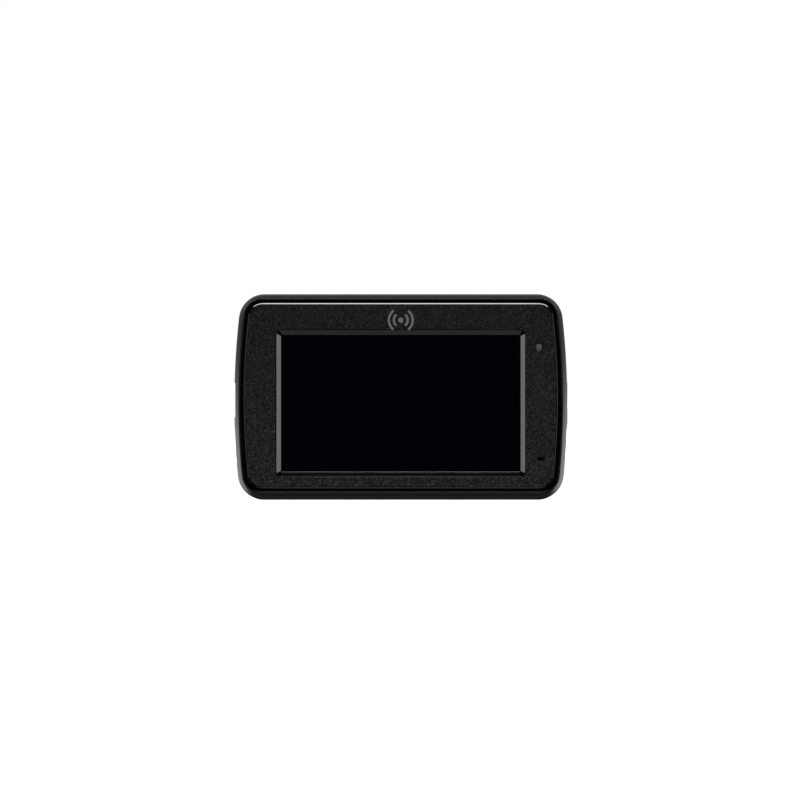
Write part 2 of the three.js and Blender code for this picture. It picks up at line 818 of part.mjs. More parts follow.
function mountRail() {
  const low = RAIL.z - RAIL.height / 2;
  const high = RAIL.z + RAIL.height / 2;
  const neck = block(-RAIL.neck / 2, RAIL.neck / 2, COVER_FACE_Y + CONTACT, RAIL_NECK_Y + 0.5, low, high);
  const head = block(-RAIL.head / 2, RAIL.head / 2, RAIL_NECK_Y, RAIL_FACE_Y, low, high);
  const stop = block(
    -RAIL.head / 2,
    RAIL.head / 2,
    COVER_FACE_Y + CONTACT,
    RAIL_NECK_Y + 0.5,
    high - 1.6,
    high,
  );
  const holes = RAIL_SCREWS_Z.flatMap((z) => [
    rodY(1.35, 0, z, COVER_FACE_Y - 1, RAIL_FACE_Y + 1, 12),
    rodY(2.35, 0, z, RAIL_FACE_Y - 1.8, RAIL_FACE_Y + 1),
  ]);
  return cut(join(neck, head, stop), ...holes);
}

// A pan-head screw with a cross recess. Its head's underside is at y 0 and it points along -Y.
function screw({ headRadius, headHeight, shankRadius, length }) {
  const body = toSolid(
    turned(
      [
        [0, -length],
        [shankRadius * 0.6, -length],
        [shankRadius, -length + shankRadius * 0.6],
        [shankRadius, 0],
        [headRadius, 0],
        [headRadius, headHeight * 0.6],
        [headRadius * 0.8, headHeight],
        [0, headHeight],
      ],
      10,
    ),
  );
  const arm = headRadius * 0.6;
  const half = headRadius * 0.13;
  const floor = headHeight * 0.45;
  const across = block(-arm, arm, floor, headHeight + 1, -half, half);
  const upright = block(-half, half, floor, headHeight + 1, -arm, arm);
  return cut(body, across, upright);
}

// ---------- assembly ----------

const detector = new THREE.Group();

function add(name, finish, shape, at = [0, 0, 0]) {
  const geometry = shape.isBufferGeometry ? shape : toGeometry(shape);
  const mesh = new THREE.Mesh(geometry, new THREE.MeshStandardMaterial(FINISH[finish]));
  mesh.name = name;
  mesh.position.set(...at);
  detector.add(mesh);
}

add("front_bezel", "caseBlack", frontBezel());
add("housing", "caseBlack", housing());
add("rear_cover", "caseBlack", rearCover());

add("screen_glass", "screenBlack", boxPiece(72.4, 0.9, 43.4), [0, -16.85, SCREEN_Z]);
add("window_gasket", "rubberBlack", windowGasket());
add("lcd_panel", "displayCell", boxPiece(70.4, 1.1, 41.8), [0, -15.25, SCREEN_Z]);
add("backlight", "stainless", backlight());
add("display_flex", "flexAmber", displayFlex());

const pipeLength = 9.1;
add("light_pipe", "clearPlastic", boxPiece(1.6, pipeLength, 2.1), [
  INDICATOR.x,
  FACE_Y + 0.3 + pipeLength / 2,
  INDICATOR.z,
]);
add("indicator_led", "ledWhite", boxPiece(1.6, 0.7, 0.8), [INDICATOR.x, -8.85, INDICATOR.z]);
const bootProfile = [
  [0.6, 0],
  [1.8, 0],
  [1.8, 2.2],
  [1.5, 2.2],
  [1.5, 0.3],
  [0.6, 0.3],
  [0.6, 0],
];
add("microphone_boot", "rubberBlack", turned(bootProfile), [MICROPHONE.x, -17.3, MICROPHONE.z]);
add("microphone", "dieCast", new THREE.CylinderGeometry(1.4, 1.4, 1.8, 16), [
  MICROPHONE.x,
  -16,
  MICROPHONE.z,
]);

add("chassis_frame", "stainless", chassisFrame());
add("main_board", "boardGreen", mainBoard());
add("display_connector", "chipBlack", boxPiece(20, 1.2, 2.6), [0, -9.1, 11.5]);
add("processor", "chipBlack", boxPiece(14, 1.1, 14), [-14, -9.05, 29]);
add("processor_shield", "stainless", shieldCan(17, 17, 2), [-14, -9.5, 29]);
add("memory_chip", "chipBlack", boxPiece(9, 1, 12), [12, -9, 29]);
add("power_inductor", "chipBlack", boxPiece(6, 3, 6), [-6, -5.6, 36]);

add("power_socket_shell", "stainless", socketShell());
add("power_socket_tongue", "chipBlack", socketTongue());
add("card_socket", "stainless", cardSocket());
add("memory_card", "chipBlack", memoryCard());

["mute", "power"].forEach((keyName, i) => {
  const low = KEYS.low + i * (KEYS.length + GAP / 2);
  const middle = low + (KEYS.length - GAP) / 2;
  add(`${keyName}_key`, "keyBlack", sideKey(low));
  add(`${keyName}_switch`, "chipBlack", switchBody(), [SWITCH.backX, KEYS.y, middle]);
  add(`${keyName}_plunger`, "ledWhite", switchPlunger(), [42.625, KEYS.y, middle]);
});
add("reset_switch", "chipBlack", resetSwitch(), [-40.6, RESET.y, RESET.z]);
const resetPin = new THREE.CylinderGeometry(0.5, 0.5, 1.5, 10).rotateZ(Math.PI / 2);
add("reset_plunger", "ledWhite", resetPin, [-40.85, RESET.y, RESET.z]);

add("horn_antenna", "dieCast", hornAntenna());
add("receiver_board", "boardGreen", boxPiece(24, 1, 21), [HORN.x, -1.9, HORN.z]);
add("receiver_shield", "stainless", shieldCan(20, 15, 2.6), [HORN.x, -3.8, HORN.z + 2]);
add("receiver_connector", "chipBlack", boxPiece(12, 4.4, 2.4), [HORN.x, -4.8, 10.2]);

add("laser_board", "boardGreen", boxPiece(13, 1, 13), [LASER.x, 3.5, LASER.z]);
add("laser_photodiode", "chipBlack", boxPiece(5, 1.4, 5), [LASER.x, 4.8, LASER.z]);
add("laser_lens_holder", "rubberBlack", lensHolder(), [LASER.x, 0, LASER.z]);
add("laser_lens", "clearPlastic", laserLens(), [LASER.x, 0, LASER.z]);
add("laser_window", "smokedLens", laserWindow());

add("gps_antenna", "ceramicTan", boxPiece(15, 15, 4), [0, 3, 52.2]);
add("gps_board", "boardGreen", boxPiece(17, 16, 1), [0, 3, 49.6]);

add("speaker_frame", "dieCast", speakerFrame(), [SPEAKER.x, 0, SPEAKER.z]);
add("speaker_cone", "paperCone", speakerCone(), [SPEAKER.x, 0, SPEAKER.z]);
add("speaker_gasket", "rubberBlack", speakerGasket(), [SPEAKER.x, 0, SPEAKER.z]);
add("speaker_lead", "rubberBlack", speakerLead());

const capacitorCan = new THREE.CylinderGeometry(4, 4, 17, 20).rotateZ(Math.PI / 2);
add("backup_capacitor", "foilBlue", capacitorCan, [17.5, -3.1, 40]);

add("mount_rail", "caseBlack", mountRail());
RAIL_SCREWS_Z.forEach((z, i) =>
  add(`rail_screw_${i + 1}`, "screwBlack", screw(RAIL_SCREW), [0, RAIL_FACE_Y - 1.7, z]),
);
POSTS.forEach(([x, z], i) =>
  add(`case_screw_${i + 1}`, "screwBlack", screw(CASE_SCREW), [x, CASE_SCREW_SEAT_Y, z]),
);
STANDOFFS.forEach(([x, z], i) =>
  add(`board_screw_${i + 1}`, "stainless", screw(BOARD_SCREW), [x, BOARD_BACK_Y + CONTACT, z]),
);

export default detector;
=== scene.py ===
import json
import math

import bmesh
import bpy
from mathutils import Matrix, Vector


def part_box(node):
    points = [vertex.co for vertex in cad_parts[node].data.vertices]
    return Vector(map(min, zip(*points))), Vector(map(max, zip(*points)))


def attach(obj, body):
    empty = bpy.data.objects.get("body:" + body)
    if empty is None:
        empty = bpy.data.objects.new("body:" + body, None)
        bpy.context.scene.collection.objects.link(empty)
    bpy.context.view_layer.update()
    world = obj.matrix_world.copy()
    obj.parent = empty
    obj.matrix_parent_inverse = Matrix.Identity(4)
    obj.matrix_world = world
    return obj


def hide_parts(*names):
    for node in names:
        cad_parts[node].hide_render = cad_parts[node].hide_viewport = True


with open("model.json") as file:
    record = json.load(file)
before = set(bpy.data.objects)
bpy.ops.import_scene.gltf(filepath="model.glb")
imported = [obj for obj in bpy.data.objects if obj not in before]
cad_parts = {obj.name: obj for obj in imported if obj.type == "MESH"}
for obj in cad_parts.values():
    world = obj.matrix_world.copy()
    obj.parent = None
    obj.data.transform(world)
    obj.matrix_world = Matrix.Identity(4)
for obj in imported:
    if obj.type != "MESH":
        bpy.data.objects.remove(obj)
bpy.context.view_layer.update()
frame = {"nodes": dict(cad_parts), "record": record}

# A windscreen radar detector. Shapes are worked out in millimetres, in the CAD model's frame:
# +X to the right of the display, +Y ahead to the road, +Z up, standing on Z 0.
MM = 0.001

# Loops: how many steps go into each corner, each upright side and each level side.
FINE = (14, 36, 56)
MEDIUM = (10, 6, 6)
SMALL = (7, 1, 1)
STRAIGHT = (1e5, 0)
FILLET_STEPS = 4

# Outlines seen from the front: half width, radius and height of the sides' bow, corner radius.
CASE_HALF_WIDTH = 46.82
CASE_BOW = (216, 27.4)
PLATE_BOW = (206, 28.4)
PLATE_CORNER = 4.2
PLATE_CHAMFER = 0.45
GROOVE_HALF_WIDTH = 45
GROOVE_LOW = 2.5
GROOVE_HIGH = 56.15
GROOVE_BOW = (202, 26.6)
GROOVE_CORNER = 4.7
WALL = 1.9

# The housing's front lip: side inset, top inset, bottom inset, corner radius.
HOUSING_LIP = (1.55, 1.4, 2.2, 4.9)

# Skins of the case along Y: (y, side inset, top inset, bottom inset, corner radius).
HOUSING_SKIN = [
    (-17.9, 1.25, 1.2, 1.85, 5.3),
    (-16.9, 0.95, 0.66, 1.25, 5.9),
    (-15.9, 0.68, 0.46, 0.8, 6.4),
    (-14.9, 0.42, 0.32, 0.4, 6.8),
    (-13.5, 0.2, 0.2, 0.06, 7.1),
    (-11.5, 0.06, 0.09, 0, 7.25),
    (-8.4, 0.01, 0.01, 0, 7.3),
    (-5, 0, 0, 0, 7.3),
    (-1.8, 0.09, 0, 0, 7.3),
    (2.7, 0.47, 0.07, 0, 7.3),
]
COVER_SKIN = [
    (3.6, 0.56, 0.11, 0, 7.3),
    (7, 1.12, 0.3, 0, 7.5),
    (9.5, 1.8, 0.75, 0.3, 7.8),
    (11.5, 2.7, 1.5, 0.95, 8.1),
    (13, 3.8, 2.5, 1.9, 8.4),
    (14, 4.9, 3.5, 2.9, 8.4),
    (14.7, 6.1, 4.6, 4, 8.2),
    (15, 7.4, 5.8, 5.2, 7.9),
]
SKIN_STEPS = 4

# Features that several pieces share.
WINDOW_WIDTH = 66.9
WINDOW_HEIGHT = 38.1
WINDOW_BEVEL = 1.55
WINDOW_CORNER = 0.4
PRINT_HEIGHT = 0.02
SCREW_HOLE = 1.35
POCKET_FLOOR_X = 42.5

# Turns that lay a tool made along Y on to another side of the case.
LEFT = Matrix.Rotation(math.radians(90), 4, "Z")
RIGHT = Matrix.Rotation(math.radians(-90), 4, "Z")
UP = Matrix.Rotation(math.radians(90), 4, "X")


def box_mm(node):
    low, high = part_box(node)
    return low / MM, high / MM


def middle_mm(node):
    low, high = box_mm(node)
    return (low + high) / 2


case_low, case_high = box_mm("housing")
plate_low, plate_high = box_mm("front_bezel")
cover_low, cover_high = box_mm("rear_cover")
glass_low, glass_high = box_mm("screen_glass")
screen_z = (glass_low.z + glass_high.z) / 2


# ---------- loops and solids ----------


def arc(centre_x, centre_z, radius, start, end, steps):
    turn = (end - start) / steps
    angles = [start + i * turn for i in range(steps + 1)]
    return [(centre_x + radius * math.cos(a), centre_z + radius * math.sin(a)) for a in angles]


def outline(half_width, low, high, corner, bow=STRAIGHT, x=0.0, detail=SMALL):
    """A loop in X and Z with round corners and sides that bow outwards, widest at one height."""
    corner_steps, side_steps, level_steps = detail
    bow_radius, bow_z = bow
    bow_x = half_width - bow_radius
    quarter = math.pi / 2

    def meet(z):
        """A corner's centre, and the angle at which its arc meets the bowed side."""
        reach = math.sqrt((bow_radius - corner) ** 2 - (z - bow_z) ** 2)
        return bow_x + reach, z, math.atan2(z - bow_z, reach)

    low_x, low_z, low_angle = meet(low + corner)
    high_x, high_z, high_angle = meet(high - corner)
    right = arc(low_x, low_z, corner, -quarter, low_angle, corner_steps)
    right += arc(bow_x, bow_z, bow_radius, low_angle, high_angle, side_steps)[1:]
    right += arc(high_x, high_z, corner, high_angle, quarter, corner_steps)[1:]
    shares = [1 - 2 * i / level_steps for i in range(1, level_steps)]
    top = [(high_x * share, high) for share in shares]
    left = [(-px, pz) for px, pz in reversed(right)]
    bottom = [(-low_x * share, low) for share in shares]
    return [(x + px, pz) for px, pz in right + top + left + bottom]


def disc(radius, x, z, steps=40):
    return arc(x, z, radius, 0, 2 * math.pi, steps)[:-1]


def ring(y, loop, fillet=0.0, finish=0):
    """One station of a skin: its points, the radius that softens it, and its finish to the next."""
    return [Vector((x, y, z)) for x, z in loop], fillet, finish


def toward(point, other, distance):
    gap = other - point
    return point + gap * min(distance / max(gap.length, 1e-9), 0.48)


def softened(stations, closed):
    """Replaces each station that has a fillet by a few rings that round it off.

    The rounding takes the smoother of the two finishes that meet there.
    """
    made = []
    for i, (points, fillet, finish) in enumerate(stations):
        at_end = not closed and i in (0, len(stations) - 1)
        if fillet == 0 or at_end:
            made.append((points, finish))
            continue
        before, _, finish_before = stations[i - 1]
        after = stations[(i + 1) % len(stations)][0]
        for step in range(FILLET_STEPS + 1):
            t = step / FILLET_STEPS
            rounded = [
                toward(p, a, fillet) * (1 - t) ** 2 + p * 2 * t * (1 - t) + toward(p, b, fillet) * t**2
                for p, a, b in zip(points, before, after)
            ]
            last = step == FILLET_STEPS
            made.append((rounded, finish if last else max(finish, finish_before)))
    return made


def skin(name, stations, closed=False, turn=None):
    """A closed solid through the stations: a tube that meets itself, or a loft with two ends."""
    rings = softened(stations, closed)
    count = len(rings[0][0])
    vertices = [p * MM for points, _ in rings for p in points]
    faces = []
    finishes = []
    for i in range(len(rings) if closed else len(rings) - 1):
        here = i * count
        there = (i + 1) % len(rings) * count
        for j in range(count):
            k = (j + 1) % count
            faces.append((here + j, there + j, there + k, here + k))
            finishes.append(rings[i][1])
    if not closed:
        last = (len(rings) - 1) * count
        faces.append(tuple(range(count)))
        faces.append(tuple(last + j for j in reversed(range(count))))
        finishes += [rings[0][1], rings[-1][1]]
    mesh = bpy.data.meshes.new(name)
    mesh.from_pydata(vertices, [], faces)
    finish_faces(mesh, finishes)
    if turn is not None:
        mesh.transform(turn)
    return link(name, outward(mesh))


def finish_faces(mesh, finishes):
    """Gives the mesh the case's finishes, and each face its own among them."""
    for material in CASE_LOOKS:
        mesh.materials.append(material)
    mesh.polygons.foreach_set("material_index", finishes)


def outward(mesh):
    work = bmesh.new()
    work.from_mesh(mesh)
    bmesh.ops.remove_doubles(work, verts=work.verts, dist=1e-7)
    bmesh.ops.recalc_face_normals(work, faces=work.faces)
    work.to_mesh(mesh)
    work.free()
    return mesh


def link(name, data):
    """A new object in the scene that shows a mesh, a light or a camera."""
    made = bpy.data.objects.new(name, data)
    bpy.context.scene.collection.objects.link(made)
    return made


def settle(piece):
    """Turns the piece's modifiers into mesh."""
    graph = bpy.context.evaluated_depsgraph_get()
    mesh = bpy.data.meshes.new_from_object(piece.evaluated_get(graph))
    piece.modifiers.clear()
    piece.data = mesh
    return piece


def combine(piece, tools, operation):
    for tool in tools:
        step = piece.modifiers.new(operation.lower(), "BOOLEAN")
        step.operation = operation
        step.solver = "EXACT"
        step.object = tool
    settle(piece)
    for tool in tools:
        bpy.data.objects.remove(tool, do_unlink=True)
    return piece


def carve(piece, *tools):
    return combine(piece, tools, "DIFFERENCE")


def unite(piece, *tools):
    return combine(piece, tools, "UNION")


def smooth(piece, angle=32):
    piece.data.shade_smooth()
    piece.data.set_sharp_from_angle(angle=math.radians(angle))
    normals = piece.modifiers.new("normals", "WEIGHTED_NORMAL")
    normals.keep_sharp = True
    return piece


def soften_edges(piece, width, segments=3, angle=30):
    edges = piece.modifiers.new("edges", "BEVEL")
    edges.width = width * MM
    edges.segments = segments
    edges.limit_method = "ANGLE"
    edges.angle_limit = math.radians(angle)
    return settle(piece)


def prism(name, loop, y0, y1, finish=0, turn=None):
    return skin(name, [ring(y0, loop, 0, finish), ring(y1, loop, 0, finish)], turn=turn)


def block(name, low, high, finish=0):
    x0, y0, z0 = low
    x1, y1, z1 = high
    loop = [(x0, z0), (x1, z0), (x1, z1), (x0, z1)]
    return prism(name, loop, y0, y1, finish)


def rounded(centre, half_width, half_height, corner, detail=SMALL):
    """A function that gives a rounded rectangle in X and Z, larger on every side by grow."""

    def loop(grow):
        low = centre.z - half_height - grow
        high = centre.z + half_height + grow
        return outline(half_width + grow, low, high, corner + grow, x=centre.x, detail=detail)

    return loop


def opening(loop_of, depth_y, face_y, lip, finish=0, turn=None):
    """A cutter from depth_y out through face_y, whose mouth is rounded by lip."""
    out = math.copysign(1, face_y - depth_y)
    stations = [ring(depth_y, loop_of(0), 0, finish)]
    steps = 5
    for i in range(steps + 1):
        t = i / steps * math.pi / 2
        y = face_y - out * lip * (1 - math.sin(t))
        stations.append(ring(y, loop_of(lip * (1 - math.cos(t))), 0, finish))
    stations.append(ring(face_y + out, loop_of(lip), 0, finish))
    return skin("opening", stations, turn=turn)


def turned(name, profile, x, z, sides=64):
    """A piece turned about a line along Y. Its profile is (radius, y) pairs, and ends on the line."""
    return skin(name, [ring(y, disc(max(radius, 1e-3), x, z, sides)) for radius, y in profile])


# ---------- materials ----------


def node(tree, kind, inputs=None, **settings):
    made = tree.nodes.new("ShaderNode" + kind)
    for key, value in settings.items():
        setattr(made, key, value)
    for key, value in (inputs or {}).items():
        if isinstance(value, bpy.types.NodeSocket):
            tree.links.new(value, made.inputs[key])
        else:
            made.inputs[key].default_value = value
    return made


def blank_material(name):
    material = bpy.data.materials.new(name)
    material.use_nodes = True
    tree = material.node_tree
    tree.nodes.clear()
    shader = node(tree, "BsdfPrincipled")
    output = node(tree, "OutputMaterial")
    tree.links.new(shader.outputs["BSDF"], output.inputs["Surface"])
    place = node(tree, "TexCoord").outputs["Object"]
    return material, tree, shader, place


def blend_value(tree, factor, low, high):
    """low where factor is 0 and high where it is 1."""
    spread = node(tree, "MapRange", {"Value": factor, "To Min": low, "To Max": high})
    return spread.outputs["Result"]


def blend_colour(tree, factor, low, high):
    mix = node(tree, "Mix", data_type="RGBA")
    # The node has its factor at input 0 and its two colours at inputs 6 and 7.
    for key, value in ((0, factor), (6, low), (7, high)):
        if isinstance(value, bpy.types.NodeSocket):
            tree.links.new(value, mix.inputs[key])
        else:
            mix.inputs[key].default_value = value
    return mix.outputs[2]


def shade(colour, gain):
    return tuple(min(channel * gain, 1) for channel in colour) + (1,)


def noise(tree, place, size, detail=3.0):
    """Smooth noise whose blobs are size millimetres across."""
    made = node(tree, "TexNoise", {"Vector": place, "Scale": 1 / (size * MM), "Detail": detail})
    return made.outputs["Fac"]


def cells(tree, place, size, feature="F1"):
    """Rounded cells size millimetres across: 0 at each middle."""
    made = node(tree, "TexVoronoi", {"Vector": place, "Scale": 1 / (size * MM)}, feature=feature)
    return made.outputs["Distance"]


def steps_between(tree, value, low, high):
    """0 below low, 1 above high."""
    made = node(tree, "MapRange", {"Value": value, "From Min": low, "From Max": high})
    made.interpolation_type = "SMOOTHSTEP"
    return made.outputs["Result"]


def maths(tree, operation, *values):
    return node(tree, "Math", dict(enumerate(values)), operation=operation).outputs[0]


def paint(tree, shader, tone, rough):
    """Gives the shader its colour and its roughness."""
    tree.links.new(tone, shader.inputs["Base Color"])
    tree.links.new(rough, shader.inputs["Roughness"])


def distance_from(tree, value, middle):
    """How far a coordinate is from middle, which is in millimetres."""
    return maths(tree, "ABSOLUTE", maths(tree, "SUBTRACT", value, middle * MM))


def bump(tree, shader, height, depth):
    """Relief whose full range is depth millimetres."""
    made = node(tree, "Bump", {"Height": height, "Distance": depth * MM, "Strength": 1.0})
    tree.links.new(made.outputs["Normal"], shader.inputs["Normal"])


def edge_wear(tree):
    """0 on flat faces, 1 on the sharpest outer edges."""
    pointiness = node(tree, "NewGeometry").outputs["Pointiness"]
    return steps_between(tree, pointiness, 0.52, 0.6)


def plastic(name, colour, roughness, grain, depth, wear=0.25):
    """Moulded plastic: a fine spark-eroded grain, faint mottling, and edges rubbed lighter."""
    material, tree, shader, place = blank_material(name)
    pits = cells(tree, place, grain, "SMOOTH_F1")
    fine = noise(tree, place, grain * 0.45, 2.0)
    mottle = noise(tree, place, grain * 9)
    bump(tree, shader, maths(tree, "MULTIPLY_ADD", fine, 0.5, pits), depth)
    body = blend_colour(tree, fine, shade(colour, 0.72), shade(colour, 1.28))
    rubbed = maths(tree, "MULTIPLY", edge_wear(tree), wear)
    worn = blend_colour(tree, rubbed, body, shade(colour, 3.2))
    rough = blend_value(tree, mottle, roughness * 0.86, min(roughness * 1.14, 1))
    paint(tree, shader, worn, rough)
    shader.inputs["IOR"].default_value = 1.5
    return material


def grained_plastic():
    """Spark-eroded plastic: small pits that each catch the light differently.

    Its colour is painted paler towards the foot of the case and darker towards its top: painted light
    and shade up the face.
    """
    material, tree, shader, place = blank_material("grained case plastic")
    pit = 0.2 * MM
    scale = 1 / pit
    wander = node(tree, "TexNoise", {"Vector": place, "Scale": scale * 2.2, "Detail": 1.0})
    sway = {0: wander.outputs["Color"], "Scale": 0.7 * pit}
    drift = node(tree, "VectorMath", sway, operation="SCALE").outputs["Vector"]
    bent = node(tree, "VectorMath", {0: place, 1: drift}, operation="ADD").outputs["Vector"]
    pattern = {"Vector": bent, "Scale": scale, "Smoothness": 0.2}
    pits = node(tree, "TexVoronoi", pattern, feature="SMOOTH_F1")
    lit = node(tree, "SeparateColor", {"Color": pits.outputs["Color"]}).outputs["Red"]
    specks = steps_between(tree, lit, 0.6, 0.85)
    bump(tree, shader, pits.outputs["Distance"], 0.06)
    # Painted shade: both tones darken with height, palest at the foot and darkest at the top of the
    # case.
    height = node(tree, "SeparateXYZ", {"Vector": place}).outputs["Z"]
    rise = node(tree, "MapRange", {"Value": height, "From Min": 0.0, "From Max": 0.058})
    share = rise.outputs["Result"]
    dark = blend_colour(tree, share, (0.015, 0.015, 0.0136, 1), (0.003, 0.003, 0.0025, 1))
    pale = blend_colour(tree, share, (0.17, 0.17, 0.157, 1), (0.088, 0.088, 0.08, 1))
    tone = blend_colour(tree, specks, dark, pale)
    paint(tree, shader, tone, blend_value(tree, specks, 0.62, 0.46))
    return material


def metal(name, colour, roughness, brush=(1, 1, 1), depth=0.004):
    """Metal with a brushed, drawn or plain satin surface and slight tarnish."""
    material, tree, shader, place = blank_material(name)
    stretch = node(tree, "Mapping", {"Vector": place, "Scale": brush})
    lines = noise(tree, stretch.outputs["Vector"], 0.25, 4.0)
    stain = noise(tree, place, 3.5)
    bump(tree, shader, lines, depth)
    tone = blend_colour(tree, stain, shade(colour, 0.85), shade(colour, 1.1))
    rough = blend_value(tree, lines, roughness * 0.8, min(roughness * 1.3, 1))
    paint(tree, shader, tone, rough)
    shader.inputs["Metallic"].default_value = 1.0
    return material


def screen_material():
    """Black cover glass: a printed black border round an active area with a violet cast."""
    material, tree, shader, place = blank_material("display glass")
    split = node(tree, "SeparateXYZ", {"Vector": place})
    reach_x = distance_from(tree, split.outputs["X"], 0)
    reach_z = distance_from(tree, split.outputs["Z"], screen_z)
    border_x = steps_between(tree, reach_x, 33.1 * MM, 33.25 * MM)
    border_z = steps_between(tree, reach_z, 18.6 * MM, 18.75 * MM)
    border = maths(tree, "MAXIMUM", border_x, border_z)
    pattern = {"Vector": place, "Scale": 1 / (20 * 0.14 * MM)}
    stripe = node(tree, "TexWave", pattern, bands_direction="X").outputs["Fac"]
    cell = blend_colour(tree, stripe, (0.0014, 0.0, 0.009, 1), (0.0022, 0.0, 0.013, 1))
    tone = blend_colour(tree, border, cell, (0.0008, 0.0008, 0.0009, 1))
    smear = noise(tree, place, 9, 2.0)
    paint(tree, shader, tone, blend_value(tree, smear, 0.015, 0.05))
    shader.inputs["IOR"].default_value = 1.5
    return material


def smoked_material():
    """Near-black red acrylic, clear only to the laser receiver."""
    material, tree, shader, place = blank_material("smoked lens")
    depth = noise(tree, place, 6, 2.0)
    tone = blend_colour(tree, depth, (0.006, 0.0012, 0.0018, 1), (0.012, 0.002, 0.003, 1))
    bump(tree, shader, noise(tree, place, 0.5, 2.0), 0.0015)
    paint(tree, shader, tone, blend_value(tree, depth, 0.03, 0.08))
    return material


def clear_material(name, colour, roughness, transmission):
    """Clear or milky moulded polycarbonate."""
    material, tree, shader, place = blank_material(name)
    streaks = noise(tree, place, 1.2)
    tone = blend_colour(tree, streaks, shade(colour, 0.9), shade(colour, 1.1))
    bump(tree, shader, noise(tree, place, 0.3, 2.0), 0.003)
    paint(tree, shader, tone, blend_value(tree, streaks, roughness * 0.7, roughness * 1.3))
    shader.inputs["Transmission Weight"].default_value = transmission
    shader.inputs["IOR"].default_value = 1.58
    return material


def board_material():
    """Green solder mask over copper tracks, with tinned pads and drilled vias."""
    material, tree, shader, place = blank_material("solder mask")
    pattern = {"Vector": swizzle(tree, place), "Scale": 1 / (2.2 * MM)}
    pattern |= {"Mortar Size": 0.035, "Mortar Smooth": 0.3}
    tracks = node(tree, "TexBrick", pattern, offset=0.37, squash=1.7)
    vias = cells(tree, place, 2.6)
    pads = maths(tree, "LESS_THAN", vias, 0.12)
    copper = tracks.outputs["Fac"]
    mask = blend_colour(tree, copper, (0.004, 0.055, 0.02, 1), (0.012, 0.13, 0.045, 1))
    tone = blend_colour(tree, pads, mask, (0.55, 0.5, 0.36, 1))
    bump(tree, shader, copper, 0.02)
    paint(tree, shader, tone, blend_value(tree, noise(tree, place, 4), 0.25, 0.42))
    tree.links.new(pads, shader.inputs["Metallic"])
    return material


def swizzle(tree, place):
    """Puts X and Z where a flat pattern wants X and Y."""
    split = node(tree, "SeparateXYZ", {"Vector": place}).outputs
    joined = node(tree, "CombineXYZ", {"X": split["X"], "Y": split["Z"], "Z": split["Y"]})
    return joined.outputs["Vector"]


def flex_material():
    """Amber film with copper tracks running along it."""
    material, tree, shader, place = blank_material("polyimide film")
    pattern = {"Vector": place, "Scale": 1 / (20 * 0.5 * MM)}
    tracks = node(tree, "TexWave", pattern, bands_direction="X")
    lines = steps_between(tree, tracks.outputs["Fac"], 0.45, 0.6)
    tone = blend_colour(tree, lines, (0.35, 0.12, 0.015, 1), (0.5, 0.2, 0.06, 1))
    bump(tree, shader, lines, 0.02)
    paint(tree, shader, tone, blend_value(tree, noise(tree, place, 2), 0.22, 0.38))
    return material


def ceramic_material():
    """Fired tan ceramic with a silver patch fired on the middle of its faces."""
    material, tree, shader, place = blank_material("patch ceramic")
    centre = middle_mm("gps_antenna")
    split = node(tree, "SeparateXYZ", {"Vector": place})
    reach_x = distance_from(tree, split.outputs["X"], centre.x)
    reach_y = distance_from(tree, split.outputs["Y"], centre.y)
    reach = maths(tree, "MAXIMUM", reach_x, reach_y)
    bare = steps_between(tree, reach, 5.4 * MM, 5.5 * MM)
    speck = noise(tree, place, 0.4)
    fired = blend_colour(tree, speck, (0.4, 0.3, 0.19, 1), (0.52, 0.42, 0.29, 1))
    tone = blend_colour(tree, bare, (0.75, 0.74, 0.72, 1), fired)
    bump(tree, shader, speck, 0.012)
    paint(tree, shader, tone, blend_value(tree, bare, 0.3, 0.6))
    return material


def paper_material():
    material, tree, shader, place = blank_material("pressed paper")
    fibre = noise(tree, place, 0.3, 6.0)
    tone = blend_colour(tree, fibre, (0.01, 0.01, 0.01, 1), (0.035, 0.034, 0.032, 1))
    bump(tree, shader, fibre, 0.05)
    paint(tree, shader, tone, blend_value(tree, fibre, 0.75, 0.95))
    return material


def microphone_material():
    """A microphone's metal can, with black felt over its front."""
    material, tree, shader, place = blank_material("felt-faced can")
    depth = node(tree, "SeparateXYZ", {"Vector": place}).outputs["Y"]
    felt_y = box_mm("microphone")[0].y + 0.1
    can = steps_between(tree, depth, felt_y * MM, (felt_y + 0.02) * MM)
    fibre = noise(tree, place, 0.12, 4.0)
    felt = blend_colour(tree, fibre, (0.0008, 0.0008, 0.0008, 1), (0.004, 0.004, 0.004, 1))
    tone = blend_colour(tree, can, felt, (0.5, 0.5, 0.49, 1))
    paint(tree, shader, tone, blend_value(tree, can, 1.0, 0.3))
    tree.links.new(can, shader.inputs["Metallic"])
    bump(tree, shader, fibre, 0.04)
    return material


